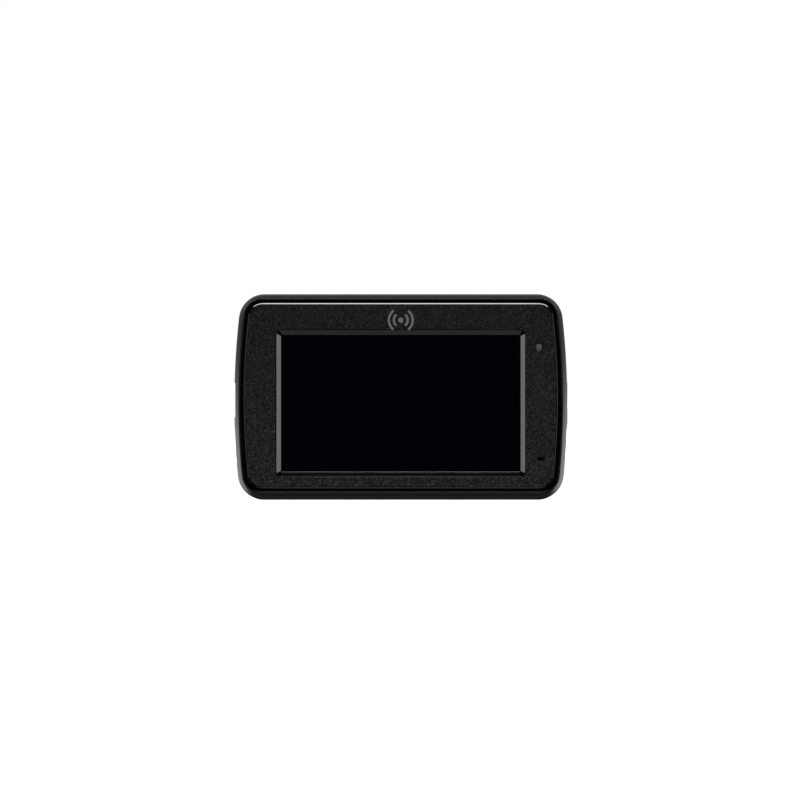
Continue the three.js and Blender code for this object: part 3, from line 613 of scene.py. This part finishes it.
grained = grained_plastic()
satin = plastic("satin case plastic", (0.01, 0.0104, 0.0092), 0.24, 0.3, 0.002)
polished = plastic("polished case edge", (0.004, 0.004, 0.004), 0.1, 0.5, 0.0005)
finishes = {
    "case_black": satin,
    "key_black": plastic("key plastic", (0.011, 0.011, 0.011), 0.42, 0.25, 0.008),
    "screen_glass": screen_material(),
    "smoked_lens": smoked_material(),
    "clear_plastic": clear_material("clear polycarbonate", (0.75, 0.77, 0.77), 0.12, 0.85),
    "display_cell": plastic("display cell", (0.006, 0.007, 0.011), 0.12, 0.2, 0.001),
    "stainless": metal("rolled stainless", (0.5, 0.5, 0.49), 0.3, (1, 1, 14)),
    "screw_black": metal("blackened steel", (0.035, 0.035, 0.038), 0.38),
    "screw_bright": metal("zinc plated steel", (0.6, 0.6, 0.62), 0.3),
    "die_cast": metal("die-cast alloy", (0.4, 0.41, 0.42), 0.48, depth=0.02),
    "board_green": board_material(),
    "chip_black": plastic("moulded epoxy", (0.009, 0.009, 0.01), 0.62, 0.14, 0.01),
    "rubber_black": plastic("moulded rubber", (0.008, 0.008, 0.008), 0.85, 0.35, 0.02),
    "flex_amber": flex_material(),
    "ceramic_tan": ceramic_material(),
    "foil_blue": plastic("heat-shrunk sleeve", (0.014, 0.055, 0.2), 0.35, 0.9, 0.01),
    "paper_cone": paper_material(),
    "led_white": plastic("white resin", (0.72, 0.71, 0.62), 0.35, 0.3, 0.004, 0.0),
    "print_grey": plastic("pale print", (0.62, 0.62, 0.61), 0.5, 0.12, 0.004, 0.0),
}

# A case piece may have all three of its finishes, by these numbers.
CASE_LOOKS = [grained, satin, polished]
GRAINED, SATIN, POLISHED = 0, 1, 2


def dress(piece, body, slot, *nodes, looks=None):
    """Gives a finished piece its materials (its slot's finish unless looks are given), puts it in its
    body and hides the CAD nodes it stands for.
    """
    if looks is not CASE_LOOKS:
        piece.data.materials.clear()
        for material in looks or [finishes[slot]]:
            piece.data.materials.append(material)
    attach(piece, body)
    if nodes:
        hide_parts(*nodes)
    return piece


# ---------- camera ----------

# The picture is square and takes in this width at the middle of the case's depth.
PICTURE_WIDTH = 224.9
CAMERA_DISTANCE = 5.0
PICTURE_CENTRE = (-0.22, 28.04)


def make_camera():
    data = bpy.data.cameras.new("camera")
    data.sensor_width = 36
    data.lens = data.sensor_width * CAMERA_DISTANCE / (PICTURE_WIDTH * MM)
    camera = link("camera", data)
    x, z = PICTURE_CENTRE
    camera.location = (x * MM, -CAMERA_DISTANCE + case_low.y / 2 * MM, z * MM)
    camera.rotation_euler = (math.radians(90), 0, 0)
    bpy.context.scene.camera = camera


make_camera()


# ---------- casing ----------


def moved_in(bow, inset):
    radius, height = bow
    return radius - inset, height


def plate_loop(inset):
    return outline(
        plate_high.x - inset,
        plate_low.z + inset,
        plate_high.z - inset,
        max(PLATE_CORNER - inset, 0.6),
        moved_in(PLATE_BOW, inset),
        detail=FINE,
    )


def groove_loop():
    ends = (GROOVE_LOW, GROOVE_HIGH)
    return outline(GROOVE_HALF_WIDTH, *ends, GROOVE_CORNER, GROOVE_BOW, detail=FINE)


def window_loop(grow):
    return outline(
        WINDOW_WIDTH / 2 + grow,
        screen_z - WINDOW_HEIGHT / 2 - grow,
        screen_z + WINDOW_HEIGHT / 2 + grow,
        WINDOW_CORNER + grow * 0.75,
        detail=FINE,
    )


def case_loop(side, top, bottom, corner, wall=0.0):
    return outline(
        CASE_HALF_WIDTH - side - wall,
        bottom + wall,
        case_high.z - top - wall,
        max(corner - wall, 0.6),
        moved_in(CASE_BOW, wall),
        detail=FINE,
    )


def between(rows, steps):
    """More rows along a smooth curve through the given ones."""
    made = []
    for i in range(len(rows) - 1):
        a = rows[max(i - 1, 0)]
        b = rows[i]
        c = rows[i + 1]
        d = rows[min(i + 2, len(rows) - 1)]
        for step in range(steps):
            t = step / steps
            y, *insets = [curve_through(*values, t) for values in zip(a, b, c, d)]
            made.append((y, *[max(inset, 0) for inset in insets]))
    return made + [rows[-1]]


def curve_through(a, b, c, d, t):
    rise = (c - a) / 2
    fall = (d - b) / 2
    return (
        b * (2 * t**3 - 3 * t**2 + 1)
        + rise * (t**3 - 2 * t**2 + t)
        + c * (3 * t**2 - 2 * t**3)
        + fall * (t**3 - t**2)
    )


def front_bezel():
    face_y = plate_low.y + 1.5 * PRINT_HEIGHT
    back_y = -17.4
    lip_y = back_y - 0.35
    rim_y = -16.2
    skirt_y = plate_high.y
    skirt_outside = 0.65
    skirt_inside = 1.75
    stations = [
        ring(face_y, window_loop(WINDOW_BEVEL), 0.2, POLISHED),
        ring(lip_y, window_loop(0.06), 0.25, POLISHED),
        ring(back_y, window_loop(0), 0.05, SATIN),
        ring(back_y, plate_loop(skirt_inside), 0.1, SATIN),
        ring(skirt_y, plate_loop(skirt_inside), 0.1, SATIN),
        ring(skirt_y, plate_loop(skirt_outside), 0.1, SATIN),
        ring(rim_y, plate_loop(skirt_outside), 0.05, SATIN),
        ring(rim_y, plate_loop(0), 0.1, SATIN),
        ring(face_y + PLATE_CHAMFER, plate_loop(0), 0.13, POLISHED),
        ring(face_y, plate_loop(PLATE_CHAMFER), 0.18, GRAINED),
    ]
    piece = skin("bezel_plate", stations, closed=True)
    indicator = face_opening("light_pipe", 1.3, 0.4, face_y, back_y)
    microphone = face_opening("microphone", 0.5, 0.45, face_y, back_y)
    carve(piece, indicator, microphone)
    smooth(piece)
    return dress(piece, "case", "case_black", "front_bezel", looks=CASE_LOOKS)


def face_opening(node_behind, half_height, corner, face_y, back_y):
    """A small upright hole through the face plate, in front of a node."""
    half_width = 1.05
    loop_of = rounded(middle_mm(node_behind), half_width, half_height, corner)
    return opening(loop_of, back_y + 1, face_y, 0.12, SATIN)


def housing():
    front_y = case_low.y
    rear_y = case_high.y
    shelf_y = -14
    seat_y = -15.9
    groove_floor_y = -16.6
    play = 0.35
    outer = [
        ring(y, case_loop(*insets), 0, SATIN) for y, *insets in between(HOUSING_SKIN, SKIN_STEPS)
    ]
    inner_rows = [row for row in reversed(HOUSING_SKIN) if row[0] > shelf_y]
    _, *rear = HOUSING_SKIN[-1]
    _, *foremost = inner_rows[-1]
    stations = [
        ring(front_y, case_loop(*HOUSING_LIP), 0.05, SATIN),
        *outer,
        ring(rear_y, case_loop(*rear), 0.25, SATIN),
        ring(rear_y, case_loop(*rear, WALL), 0.1, SATIN),
        *[ring(y, case_loop(*insets, WALL), 0, SATIN) for y, *insets in inner_rows],
        ring(shelf_y, case_loop(*foremost, WALL), 0, SATIN),
        ring(shelf_y, plate_loop(play), 0, SATIN),
        ring(seat_y, plate_loop(play), 0, SATIN),
        ring(seat_y, plate_loop(-play), 0, SATIN),
        ring(groove_floor_y, plate_loop(-play), 0, SATIN),
        ring(groove_floor_y, groove_loop(), 0, SATIN),
        ring(front_y, groove_loop(), 0.12, SATIN),
    ]
    piece = skin("main_housing", stations, closed=True)
    unite(piece, socket_collar())
    carve(piece, *socket_cutters(), reset_cutter(), key_cutter(), *card_cutters())
    smooth(piece)
    return dress(piece, "case", "case_black", "housing", looks=CASE_LOOKS)


def socket_collar():
    low, high = box_mm("power_socket_shell")
    edge = 1.6
    return block(
        "collar",
        (-CASE_HALF_WIDTH + 1.0, low.y - edge, low.z - edge),
        (low.x + 0.7, high.y + edge, high.z + edge),
        SATIN,
    )


def socket_cutters():
    """A shallow pad in the side, the pocket for the plug's end, and the hole for the shell."""
    socket = middle_mm("power_socket_shell")
    pad_x = CASE_HALF_WIDTH - 0.33
    pad_y = -6.35
    hole_x = 40

    def rectangle(half_depth, half_height, corner, middle_y=socket.y):
        centre = Vector((middle_y, 0, socket.z))
        return rounded(centre, half_depth, half_height, corner, MEDIUM)

    pad = opening(rectangle(8.6, 4.85, 0.5, pad_y), pad_x, CASE_HALF_WIDTH, 0.05, SATIN, LEFT)
    pocket = opening(rectangle(3.1, 4.45, 1.3), POCKET_FLOOR_X, pad_x, 0.25, SATIN, LEFT)
    hole = opening(rectangle(2.2, 4.1, 0.7), hole_x, POCKET_FLOOR_X, 0.2, SATIN, LEFT)
    return pad, pocket, hole


def reset_cutter():
    plunger = middle_mm("reset_plunger")
    hole = round_hole(Vector((plunger.y, 0, plunger.z)), 0.65, 32)
    return opening(hole, 42, CASE_HALF_WIDTH - 0.25, 0.2, SATIN, LEFT)


def key_cutter():
    low, _ = box_mm("mute_key")
    _, high = box_mm("power_key")
    play = 0.3
    half_width = 2 + play
    half_height = (high.z - low.z) / 2 + play
    centre = Vector((-(low.y + high.y) / 2, 0, (low.z + high.z) / 2))
    loop_of = rounded(centre, half_width, half_height, 1.15, MEDIUM)
    return opening(loop_of, 42.8, CASE_HALF_WIDTH - 0.12, 0.15, SATIN, RIGHT)


def card_cutters():
    """The slot in the top of the case, and the thumb scoop beside it."""
    card = middle_mm("memory_card")
    top = case_high.z
    loop_of = rounded(Vector((card.x, 0, -card.y)), 6, 0.75, 0.45)
    flipped = Matrix.Scale(-1, 4, (0, 1, 0))
    slot = opening(loop_of, top - 4, top - 0.2, 0.2, SATIN, flipped @ UP)
    scoop = thumb_scoop(card.x, card.y + 1.2, top)
    return slot, scoop


def thumb_scoop(x, y, top):
    """A shallow dish, the underside of a flattened ball that is centred above the surface."""
    half_x = 9.5
    half_y = 6
    half_z = 2.6
    depth = 0.7
    middle_z = top + half_z - depth
    work = bmesh.new()
    bmesh.ops.create_uvsphere(work, u_segments=64, v_segments=40, radius=1)
    stretch = Matrix.Diagonal((half_x * MM, half_y * MM, half_z * MM, 1))
    shift = Matrix.Translation(Vector((x, y, middle_z)) * MM)
    bmesh.ops.transform(work, matrix=shift @ stretch, verts=work.verts)
    mesh = bpy.data.meshes.new("scoop")
    work.to_mesh(mesh)
    work.free()
    finish_faces(mesh, [SATIN] * len(mesh.polygons))
    return link("scoop", mesh)


def rear_cover():
    front_y = 3.3
    inner_y = 13
    face_y = cover_high.y
    tongue_y = cover_low.y
    tongue_inside = WALL + 1.4
    tongue_outside = WALL + 0.3
    outer = [
        ring(y, case_loop(*insets), 0, GRAINED) for y, *insets in between(COVER_SKIN, SKIN_STEPS)
    ]
    inner = [
        ring(y, case_loop(*insets, WALL), 0, SATIN)
        for y, *insets in reversed(COVER_SKIN)
        if y <= inner_y
    ]
    _, *front = COVER_SKIN[0]
    stations = [
        *inner,
        ring(front_y, case_loop(*front, tongue_inside), 0, SATIN),
        ring(tongue_y, case_loop(*front, tongue_inside), 0, SATIN),
        ring(tongue_y, case_loop(*front, tongue_outside), 0.15, SATIN),
        ring(front_y, case_loop(*front, tongue_outside), 0, SATIN),
        ring(front_y, case_loop(*front), 0.25, GRAINED),
        *outer,
    ]
    piece = skin("rear_shell", stations)
    posts = [screw_post(name, 3.3) for name in CASE_SCREWS]
    unite(piece, *posts, *[screw_post(name, 2.5) for name in RAIL_SCREWS])
    rear_cutters = [*laser_cutters(face_y, inner_y), *grille_cutters(face_y, inner_y)]
    carve(piece, *screw_holes(face_y), *rear_cutters)
    smooth(piece)
    return dress(piece, "case", "case_black", "rear_cover", looks=CASE_LOOKS)


CASE_SCREWS = [f"case_screw_{i}" for i in (1, 2, 3, 4)]
RAIL_SCREWS = [f"rail_screw_{i}" for i in (1, 2)]
BOARD_SCREWS = [f"board_screw_{i}" for i in (1, 2, 3, 4)]
# The head's height and the shank's radius of each kind.
SCREW_KINDS = {"case": (1.7, 1.1), "rail": (1.4, 1.0), "board": (0.8, 0.65)}


def screw_post(screw, radius):
    """The post inside the rear cover that a screw goes into."""
    centre = middle_mm(screw)
    low, _ = box_mm(screw)
    return prism("post", disc(radius, centre.x, centre.z), max(low.y, 1.6), 13.6, SATIN)


def screw_holes(face_y):
    """Counterbores and shank holes for the case screws, and shank holes for the rail's."""
    tools = []
    for name in CASE_SCREWS:
        centre = middle_mm(name)
        tools.append(opening(round_hole(centre, 2.6), 9, face_y, 0.3, SATIN))
        tools.append(prism("shank", disc(1.45, centre.x, centre.z), 0, 10, SATIN))
    for name in RAIL_SCREWS:
        centre = middle_mm(name)
        tools.append(prism("shank", disc(SCREW_HOLE, centre.x, centre.z), 7, face_y + 1, SATIN))
    return tools


def round_hole(centre, radius, steps=48):
    """A function that gives a circle in X and Z, larger by grow."""
    return lambda grow: disc(radius + grow, centre.x, centre.z, steps)


def laser_cutters(face_y, inner_y):
    """A rebate that holds the window, and a smaller hole right through the cover behind it."""
    low, high = box_mm("laser_window")
    centre = (low + high) / 2
    half = (high - low) / 2
    play = 0.3
    ledge = 0.7
    around = rounded(centre, half.x + play, half.z + play, 3.5)
    within = rounded(centre, half.x - ledge, half.z - ledge, 2.5)
    rebate = opening(around, low.y - 0.1, face_y, 0.15, SATIN)
    through = opening(within, inner_y - 1, face_y, 0, SATIN)
    return rebate, through


def grille_cutters(face_y, inner_y):
    """Level slots in front of the speaker that fill a circle."""
    centre = middle_mm("speaker_frame")
    pitch = 2.4
    half_height = 0.65
    reach = 8.6
    tools = []
    for row in range(-3, 4):
        rise = row * pitch
        half_width = math.sqrt(reach**2 - rise**2)
        middle = centre + Vector((0, 0, rise))
        slot = rounded(middle, half_width, half_height, 0.64)
        tools.append(opening(slot, inner_y - 1, face_y, 0.22, SATIN))
    return tools


# ---------- display and front fittings ----------


def screen_glass():
    loop = outline(glass_high.x, glass_low.z, glass_high.z, 0.8)
    piece = prism("cover_glass", loop, glass_low.y, glass_high.y)
    soften_edges(piece, 0.12)
    smooth(piece)
    return dress(piece, "case", "screen_glass", "screen_glass")


def light_pipe():
    low, high = box_mm("light_pipe")
    centre = (low + high) / 2
    half_width = (high.x - low.x) / 2

    def loop(shrink):
        ends = (low.z + shrink, high.z - shrink)
        return outline(half_width - shrink, *ends, 0.35, x=centre.x, detail=MEDIUM)

    stations = [
        ring(low.y, loop(0.3)),
        ring(low.y + 0.08, loop(0.08), 0.05),
        ring(low.y + 0.35, loop(0), 0.1),
        ring(high.y - 0.2, loop(0), 0.1),
        ring(high.y, loop(0.2)),
    ]
    piece = smooth(skin("indicator_pipe", stations))
    milky = clear_material("milky polycarbonate", (0.6, 0.6, 0.58), 0.3, 0.25)
    return dress(piece, "case", "clear_plastic", "light_pipe", looks=[milky])


def printed_mark():
    """A dot with two arcs on each side, the common sign for a signal."""
    x = 0
    z = 50.45
    back_y = plate_low.y + 1.4 * PRINT_HEIGHT
    front_y = plate_low.y + 0.5 * PRINT_HEIGHT
    loops = [disc(0.75, x, z, 32)]
    spread = math.radians(52)
    thickness = 0.62
    for radius in (1.95, 3.35):
        for side in (0, math.pi):
            outer = arc(x, z, radius + thickness / 2, side - spread, side + spread, 24)
            inner = arc(x, z, radius - thickness / 2, side + spread, side - spread, 24)
            loops.append(outer + inner)
    pieces = [prism("mark", loop, front_y, back_y) for loop in loops]
    return dress(join_meshes("printed_mark", pieces), "case", "print_grey")


def join_meshes(name, pieces):
    work = bmesh.new()
    for piece in pieces:
        work.from_mesh(piece.data)
        bpy.data.objects.remove(piece, do_unlink=True)
    mesh = bpy.data.meshes.new(name)
    work.to_mesh(mesh)
    work.free()
    return link(name, mesh)


# ---------- keys, socket, card, lens, rail and screws ----------


def side_key(name, body):
    """A key with a crowned cap, and a flange inside the case that keeps it in."""
    low, high = box_mm(name)
    flange_x = low.x + 0.6
    flange = 2.9

    def loop(shrink, half_width=2.0):
        return outline(
            half_width - shrink,
            low.z + shrink,
            high.z - shrink,
            max(0.9 - shrink, 0.2),
            x=-(low.y + high.y) / 2,
            detail=MEDIUM,
        )

    crown = [(0, 0.55), (0.16, 0.34), (0.35, 0.18), (0.65, 0.06), (1.1, 0.015), (1.7, 0)]
    stations = [
        ring(low.x, loop(0, flange)),
        ring(flange_x, loop(0, flange), 0.1),
        ring(flange_x, loop(0), 0.1),
        *[ring(high.x - drop, loop(shrink)) for shrink, drop in crown],
    ]
    piece = smooth(skin(name + "_cap", stations, turn=RIGHT), 50)
    return dress(piece, body, "key_black", name)


def socket_shell():
    """A drawn metal shell, open at the side of the case."""
    low, high = box_mm("power_socket_shell")
    sheet = 0.35
    mouth_x = -low.x
    end_x = -high.x

    def loop(inset):
        return outline(
            (high.y - low.y) / 2 - inset,
            low.z + inset,
            high.z - inset,
            1.1 - inset,
            x=(low.y + high.y) / 2,
            detail=MEDIUM,
        )

    stations = [
        ring(end_x, loop(1)),
        ring(end_x, loop(0), 0.3),
        ring(mouth_x, loop(0), 0.1),
        ring(mouth_x, loop(sheet), 0.1),
        ring(end_x + sheet, loop(sheet)),
        ring(end_x + sheet, loop(sheet + 1)),
    ]
    shell = smooth(skin("socket_shell", stations, turn=LEFT))
    dress(shell, "case", "stainless", "power_socket_shell")


def socket_tongue():
    """The blade inside the shell, on its root, with five contact strips along one face."""
    tip, back = box_mm("power_socket_tongue")
    middle = (tip + back) / 2
    half_blade = 0.6
    half_height = 2.6
    low = (tip.x, middle.y - half_blade, middle.z - half_height)
    high = (back.x, middle.y + half_blade, middle.z + half_height)
    root = block("root", (back.x - 1.9, tip.y, tip.z), (back.x, back.y, back.z))
    tongue = unite(block("blade", low, high), root)
    tongue.name = "socket_tongue"
    smooth(soften_edges(tongue, 0.12))
    dress(tongue, "case", "chip_black", "power_socket_tongue")

    strips = []
    for i in range(-2, 3):
        z = middle.z + i * 0.95
        low = (tip.x + 0.3, middle.y - 0.68, z - 0.25)
        high = (back.x - 2, middle.y - 0.61, z + 0.25)
        strips.append(block("strip", low, high))
    contacts = join_meshes("socket_contacts", strips)
    dress(contacts, "case", "stainless", looks=[metal("gold plating", (0.9, 0.62, 0.26), 0.25)])


def memory_card():
    low, high = box_mm("memory_card")
    loop = [
        (low.x, high.z),
        (low.x, low.z + 6.6),
        (low.x + 0.9, low.z + 5.6),
        (low.x + 0.9, low.z + 0.5),
        (low.x + 1.4, low.z),
        (high.x - 1.4, low.z),
        (high.x, low.z + 1.4),
        (high.x, high.z),
    ]
    piece = prism("card_body", loop, low.y, high.y)
    ridge_low = (low.x + 0.6, high.y - 0.1, high.z - 1.5)
    ridge_high = (high.x - 0.6, high.y + 0.3, high.z)
    unite(piece, block("ridge", ridge_low, ridge_high))
    smooth(soften_edges(piece, 0.12))
    return dress(piece, "card", "chip_black", "memory_card")


def laser_window():
    low, high = box_mm("laser_window")
    centre = (low + high) / 2
    half = (high - low) / 2

    def loop(shrink):
        return outline(
            half.x - shrink,
            low.z + shrink,
            high.z - shrink,
            max(3.2 - shrink, 0.4),
            x=centre.x,
            detail=MEDIUM,
        )

    rise = high.y - cover_high.y
    dome = [(0.25, 0.15), (0.6, 0.45), (1.2, 0.7), (2.4, 0.9), (4, 1)]
    stations = [
        ring(low.y, loop(0)),
        ring(cover_high.y - 0.1, loop(0), 0.1),
        *[ring(cover_high.y + rise * share, loop(shrink)) for shrink, share in dome],
    ]
    piece = smooth(skin("laser_lens_cover", stations), 40)
    return dress(piece, "case", "smoked_lens", "laser_window")


def mount_rail():
    low, high = box_mm("mount_rail")
    neck = 6.5
    head_y = high.y - 2
    foot = block("rail", (-neck, low.y, low.z), (neck, head_y + 0.5, high.z))
    head = block("head", (low.x, head_y, low.z), (high.x, high.y, high.z))
    stop = block("stop", (low.x, low.y, high.z - 1.6), (high.x, head_y + 0.5, high.z))
    piece = unite(foot, head, stop)
    soften_edges(piece, 0.35, 4)
    for name in RAIL_SCREWS:
        centre = middle_mm(name)
        counterbore = opening(round_hole(centre, 2.35), high.y - 1.8, high.y, 0.2, SATIN)
        shank = prism("shank", disc(SCREW_HOLE, centre.x, centre.z), low.y - 1, high.y, SATIN)
        carve(piece, counterbore, shank)
    piece.name = "bracket_rail"
    smooth(piece)
    return dress(piece, "case", "case_black", "mount_rail", looks=CASE_LOOKS)


def pan_screw(name, slot):
    """A pan-head screw: domed head with a tapered cross recess, threaded shank, along Y."""
    low, high = box_mm(name)
    centre = (low + high) / 2
    head = (high.z - low.z) / 2
    height, shank = SCREW_KINDS[name.split("_")[0]]
    core = shank * 0.78
    seat_y = high.y - height
    profile = [(0, low.y), (shank * 0.55, low.y), (shank * 0.9, low.y + 0.5)]
    pitch = 0.55
    run_out = 0.6
    turns = int((seat_y - run_out - low.y - run_out) / pitch)
    for i in range(turns):
        y = low.y + run_out + i * pitch
        profile += [(core, y), (shank, y + pitch / 2)]
    profile += [(core, seat_y - 0.3), (core, seat_y), (head * 0.94, seat_y), (head, seat_y + 0.15)]
    rim_y = seat_y + height * 0.55
    steps = 6
    for i in range(steps + 1):
        t = i / steps * math.pi / 2
        radius = head * (0.55 + 0.45 * math.cos(t))
        profile.append((radius, rim_y + (high.y - rim_y) * math.sin(t)))
    profile.append((0, high.y))
    piece = turned(name + "_fine", profile, centre.x, centre.z, 40)
    carve(piece, *cross_recess(centre, high.y, head, height))
    smooth(piece)
    return dress(piece, "case", slot, name)


def laser_lens():
    """A plano-convex lens with a thin flat rim."""
    low, high = box_mm("laser_lens")
    centre = (low + high) / 2
    radius = (high.x - low.x) / 2
    rim_y = low.y + 0.8
    profile = [(0, low.y), (radius - 0.15, low.y), (radius, low.y + 0.15), (radius, rim_y)]
    steps = 16
    for i in range(steps + 1):
        share = 1 - i / steps
        crown = rim_y + (high.y - rim_y) * (1 - share**2)
        profile.append(((radius - 0.35) * share, crown))
    piece = smooth(turned("collecting_lens", profile, centre.x, centre.z), 20)
    return dress(piece, "case", "clear_plastic", "laser_lens")


def cross_recess(centre, top_y, head, height):
    """Two crossing wedges, narrower at their foot."""
    taper = 0.62
    tools = []
    for wide, tall in ((0.58, 0.13), (0.13, 0.58)):
        mouth = rounded(centre, head * wide, head * tall, head * 0.08)(0)
        foot = rounded(centre, head * wide * taper, head * tall * taper, head * 0.05)(0)
        tools.append(skin("recess", [ring(top_y - height * 0.6, foot), ring(top_y + 0.05, mouth)]))
    return tools


# ---------- inner pieces that keep their CAD shapes ----------


def dress_cad_nodes():
    slots = {part["node"]: part["material_slot"] for part in frame["record"]["subparts"]}
    for name, piece in frame["nodes"].items():
        material = microphone_material() if name == "microphone" else finishes[slots[name]]
        for holder in piece.material_slots:
            holder.link = "OBJECT"
            holder.material = material


# ---------- stage ----------

# The light tent: its dim cloth, and soft panels on it. A panel is (direction, half-angle that
# is fully lit, half-angle where it has faded out, radiance, and the heights between which a
# card cuts it off: nothing at the first, all of it at the second).
TENT_DIM = 0.012
UNCUT = (-3, -2)
TENT_PANELS = [
    ((-0.54, 0.84, -0.08), 8, 30, 0.85, (0.045, -0.025)),
    ((0.54, 0.84, -0.08), 8, 30, 0.85, (0.045, -0.025)),
    ((-0.75, 0.5, 0.45), 12, 30, 0.35, UNCUT),
    ((0.75, 0.5, 0.45), 12, 30, 0.35, UNCUT),
    ((-0.78, 0.45, -0.5), 12, 30, 0.22, UNCUT),
    ((0.78, 0.45, -0.5), 12, 30, 0.22, UNCUT),
    ((0, 0.8, 0.6), 30, 60, 0.16, (-0.05, 0.1)),
    ((0, -0.35, -0.94), 16, 30, 0.42, UNCUT),
    ((0, 0.4, -0.9), 20, 45, 0.08, UNCUT),
    ((0, -0.8, 0.6), 6, 13, 3.5, UNCUT),
]


def make_floor():
    """A pale floor that runs out of view in every direction."""
    work = bmesh.new()
    bmesh.ops.create_grid(work, x_segments=4, y_segments=4, size=12)
    mesh = bpy.data.meshes.new("floor")
    work.to_mesh(mesh)
    work.free()
    floor = link("floor", mesh)
    floor.location.z = -0.00005
    material, tree, shader, place = blank_material("pale floor")
    mottle = node(tree, "TexNoise", {"Vector": place, "Scale": 6.0, "Detail": 4.0}).outputs["Fac"]
    tone = blend_colour(tree, mottle, (0.9, 0.9, 0.9, 1), (0.94, 0.94, 0.94, 1))
    tree.links.new(tone, shader.inputs["Base Color"])
    shader.inputs["Roughness"].default_value = 0.9
    shader.inputs["Emission Color"].default_value = (1, 1, 1, 1)
    shader.inputs["Emission Strength"].default_value = 0.93
    mesh.materials.append(material)
    floor.visible_glossy = False
    floor.visible_diffuse = False


def make_tent():
    """A light tent round the object: dim cloth with soft bright panels.

    Only light and reflections meet it. The camera sees the white studio beyond.
    """
    work = bmesh.new()
    bmesh.ops.create_uvsphere(work, u_segments=64, v_segments=32, radius=3)
    mesh = bpy.data.meshes.new("tent")
    work.to_mesh(mesh)
    work.free()
    tent = link("tent", mesh)
    tent.visible_camera = False
    material = bpy.data.materials.new("tent cloth")
    material.use_nodes = True
    tree = material.node_tree
    tree.nodes.clear()
    place = node(tree, "TexCoord").outputs["Object"]
    # The way from the middle of the tent to a point of its cloth.
    way = node(tree, "VectorMath", {0: place}, operation="NORMALIZE").outputs["Vector"]
    strength = TENT_DIM
    level = node(tree, "SeparateXYZ", {"Vector": way}).outputs["Z"]
    for direction, lit, faded, radiance, (dark_z, full_z) in TENT_PANELS:
        aim = Vector(direction).normalized()
        facing = node(tree, "VectorMath", {0: way, 1: aim}, operation="DOT_PRODUCT").outputs["Value"]
        share = steps_between(tree, facing, math.cos(math.radians(faded)), math.cos(math.radians(lit)))
        uncut = steps_between(tree, level, dark_z, full_z)
        shown = maths(tree, "MULTIPLY", share, uncut)
        strength = maths(tree, "MULTIPLY_ADD", shown, radiance, strength)
    glow = node(tree, "Emission", {"Strength": strength})
    output = node(tree, "OutputMaterial")
    tree.links.new(glow.outputs["Emission"], output.inputs["Surface"])
    mesh.materials.append(material)


def soft_light(name, place, target, width, height, radiance):
    data = bpy.data.lights.new(name, "AREA")
    data.shape = "RECTANGLE"
    data.size = width
    data.size_y = height
    data.energy = 4 * width * height * radiance
    light = link(name, data)
    light.location = place
    aim = Vector(target) - Vector(place)
    light.rotation_euler = aim.to_track_quat("-Z", "Y").to_euler()
    light.visible_camera = False


def make_light():
    world = bpy.data.worlds.new("studio")
    bpy.context.scene.world = world
    world.use_nodes = True
    background = world.node_tree.nodes["Background"]
    background.inputs["Color"].default_value = (1, 1, 1, 1)
    background.inputs["Strength"].default_value = 1.0
    middle = (0, 0, 0.03)
    soft_light("overhead", (0, -0.03, 0.9), middle, 1.4, 0.13, 12)
    for side in (-1, 1):
        soft_light("side", (side * 0.85, -0.25, 0.03), middle, 0.24, 0.6, 2.4)
    bpy.context.scene.view_settings.view_transform = "Standard"
    bpy.context.scene.view_settings.look = "None"


# ---------- the whole ----------

dress_cad_nodes()
front_bezel()
housing()
rear_cover()
screen_glass()
light_pipe()
printed_mark()
side_key("mute_key", "mute_button")
side_key("power_key", "power_button")
socket_shell()
socket_tongue()
memory_card()
laser_window()
mount_rail()
for screw_name in CASE_SCREWS + RAIL_SCREWS:
    pan_screw(screw_name, "screw_black")
for screw_name in BOARD_SCREWS:
    pan_screw(screw_name, "screw_bright")
laser_lens()
make_floor()
make_tent()
make_light()
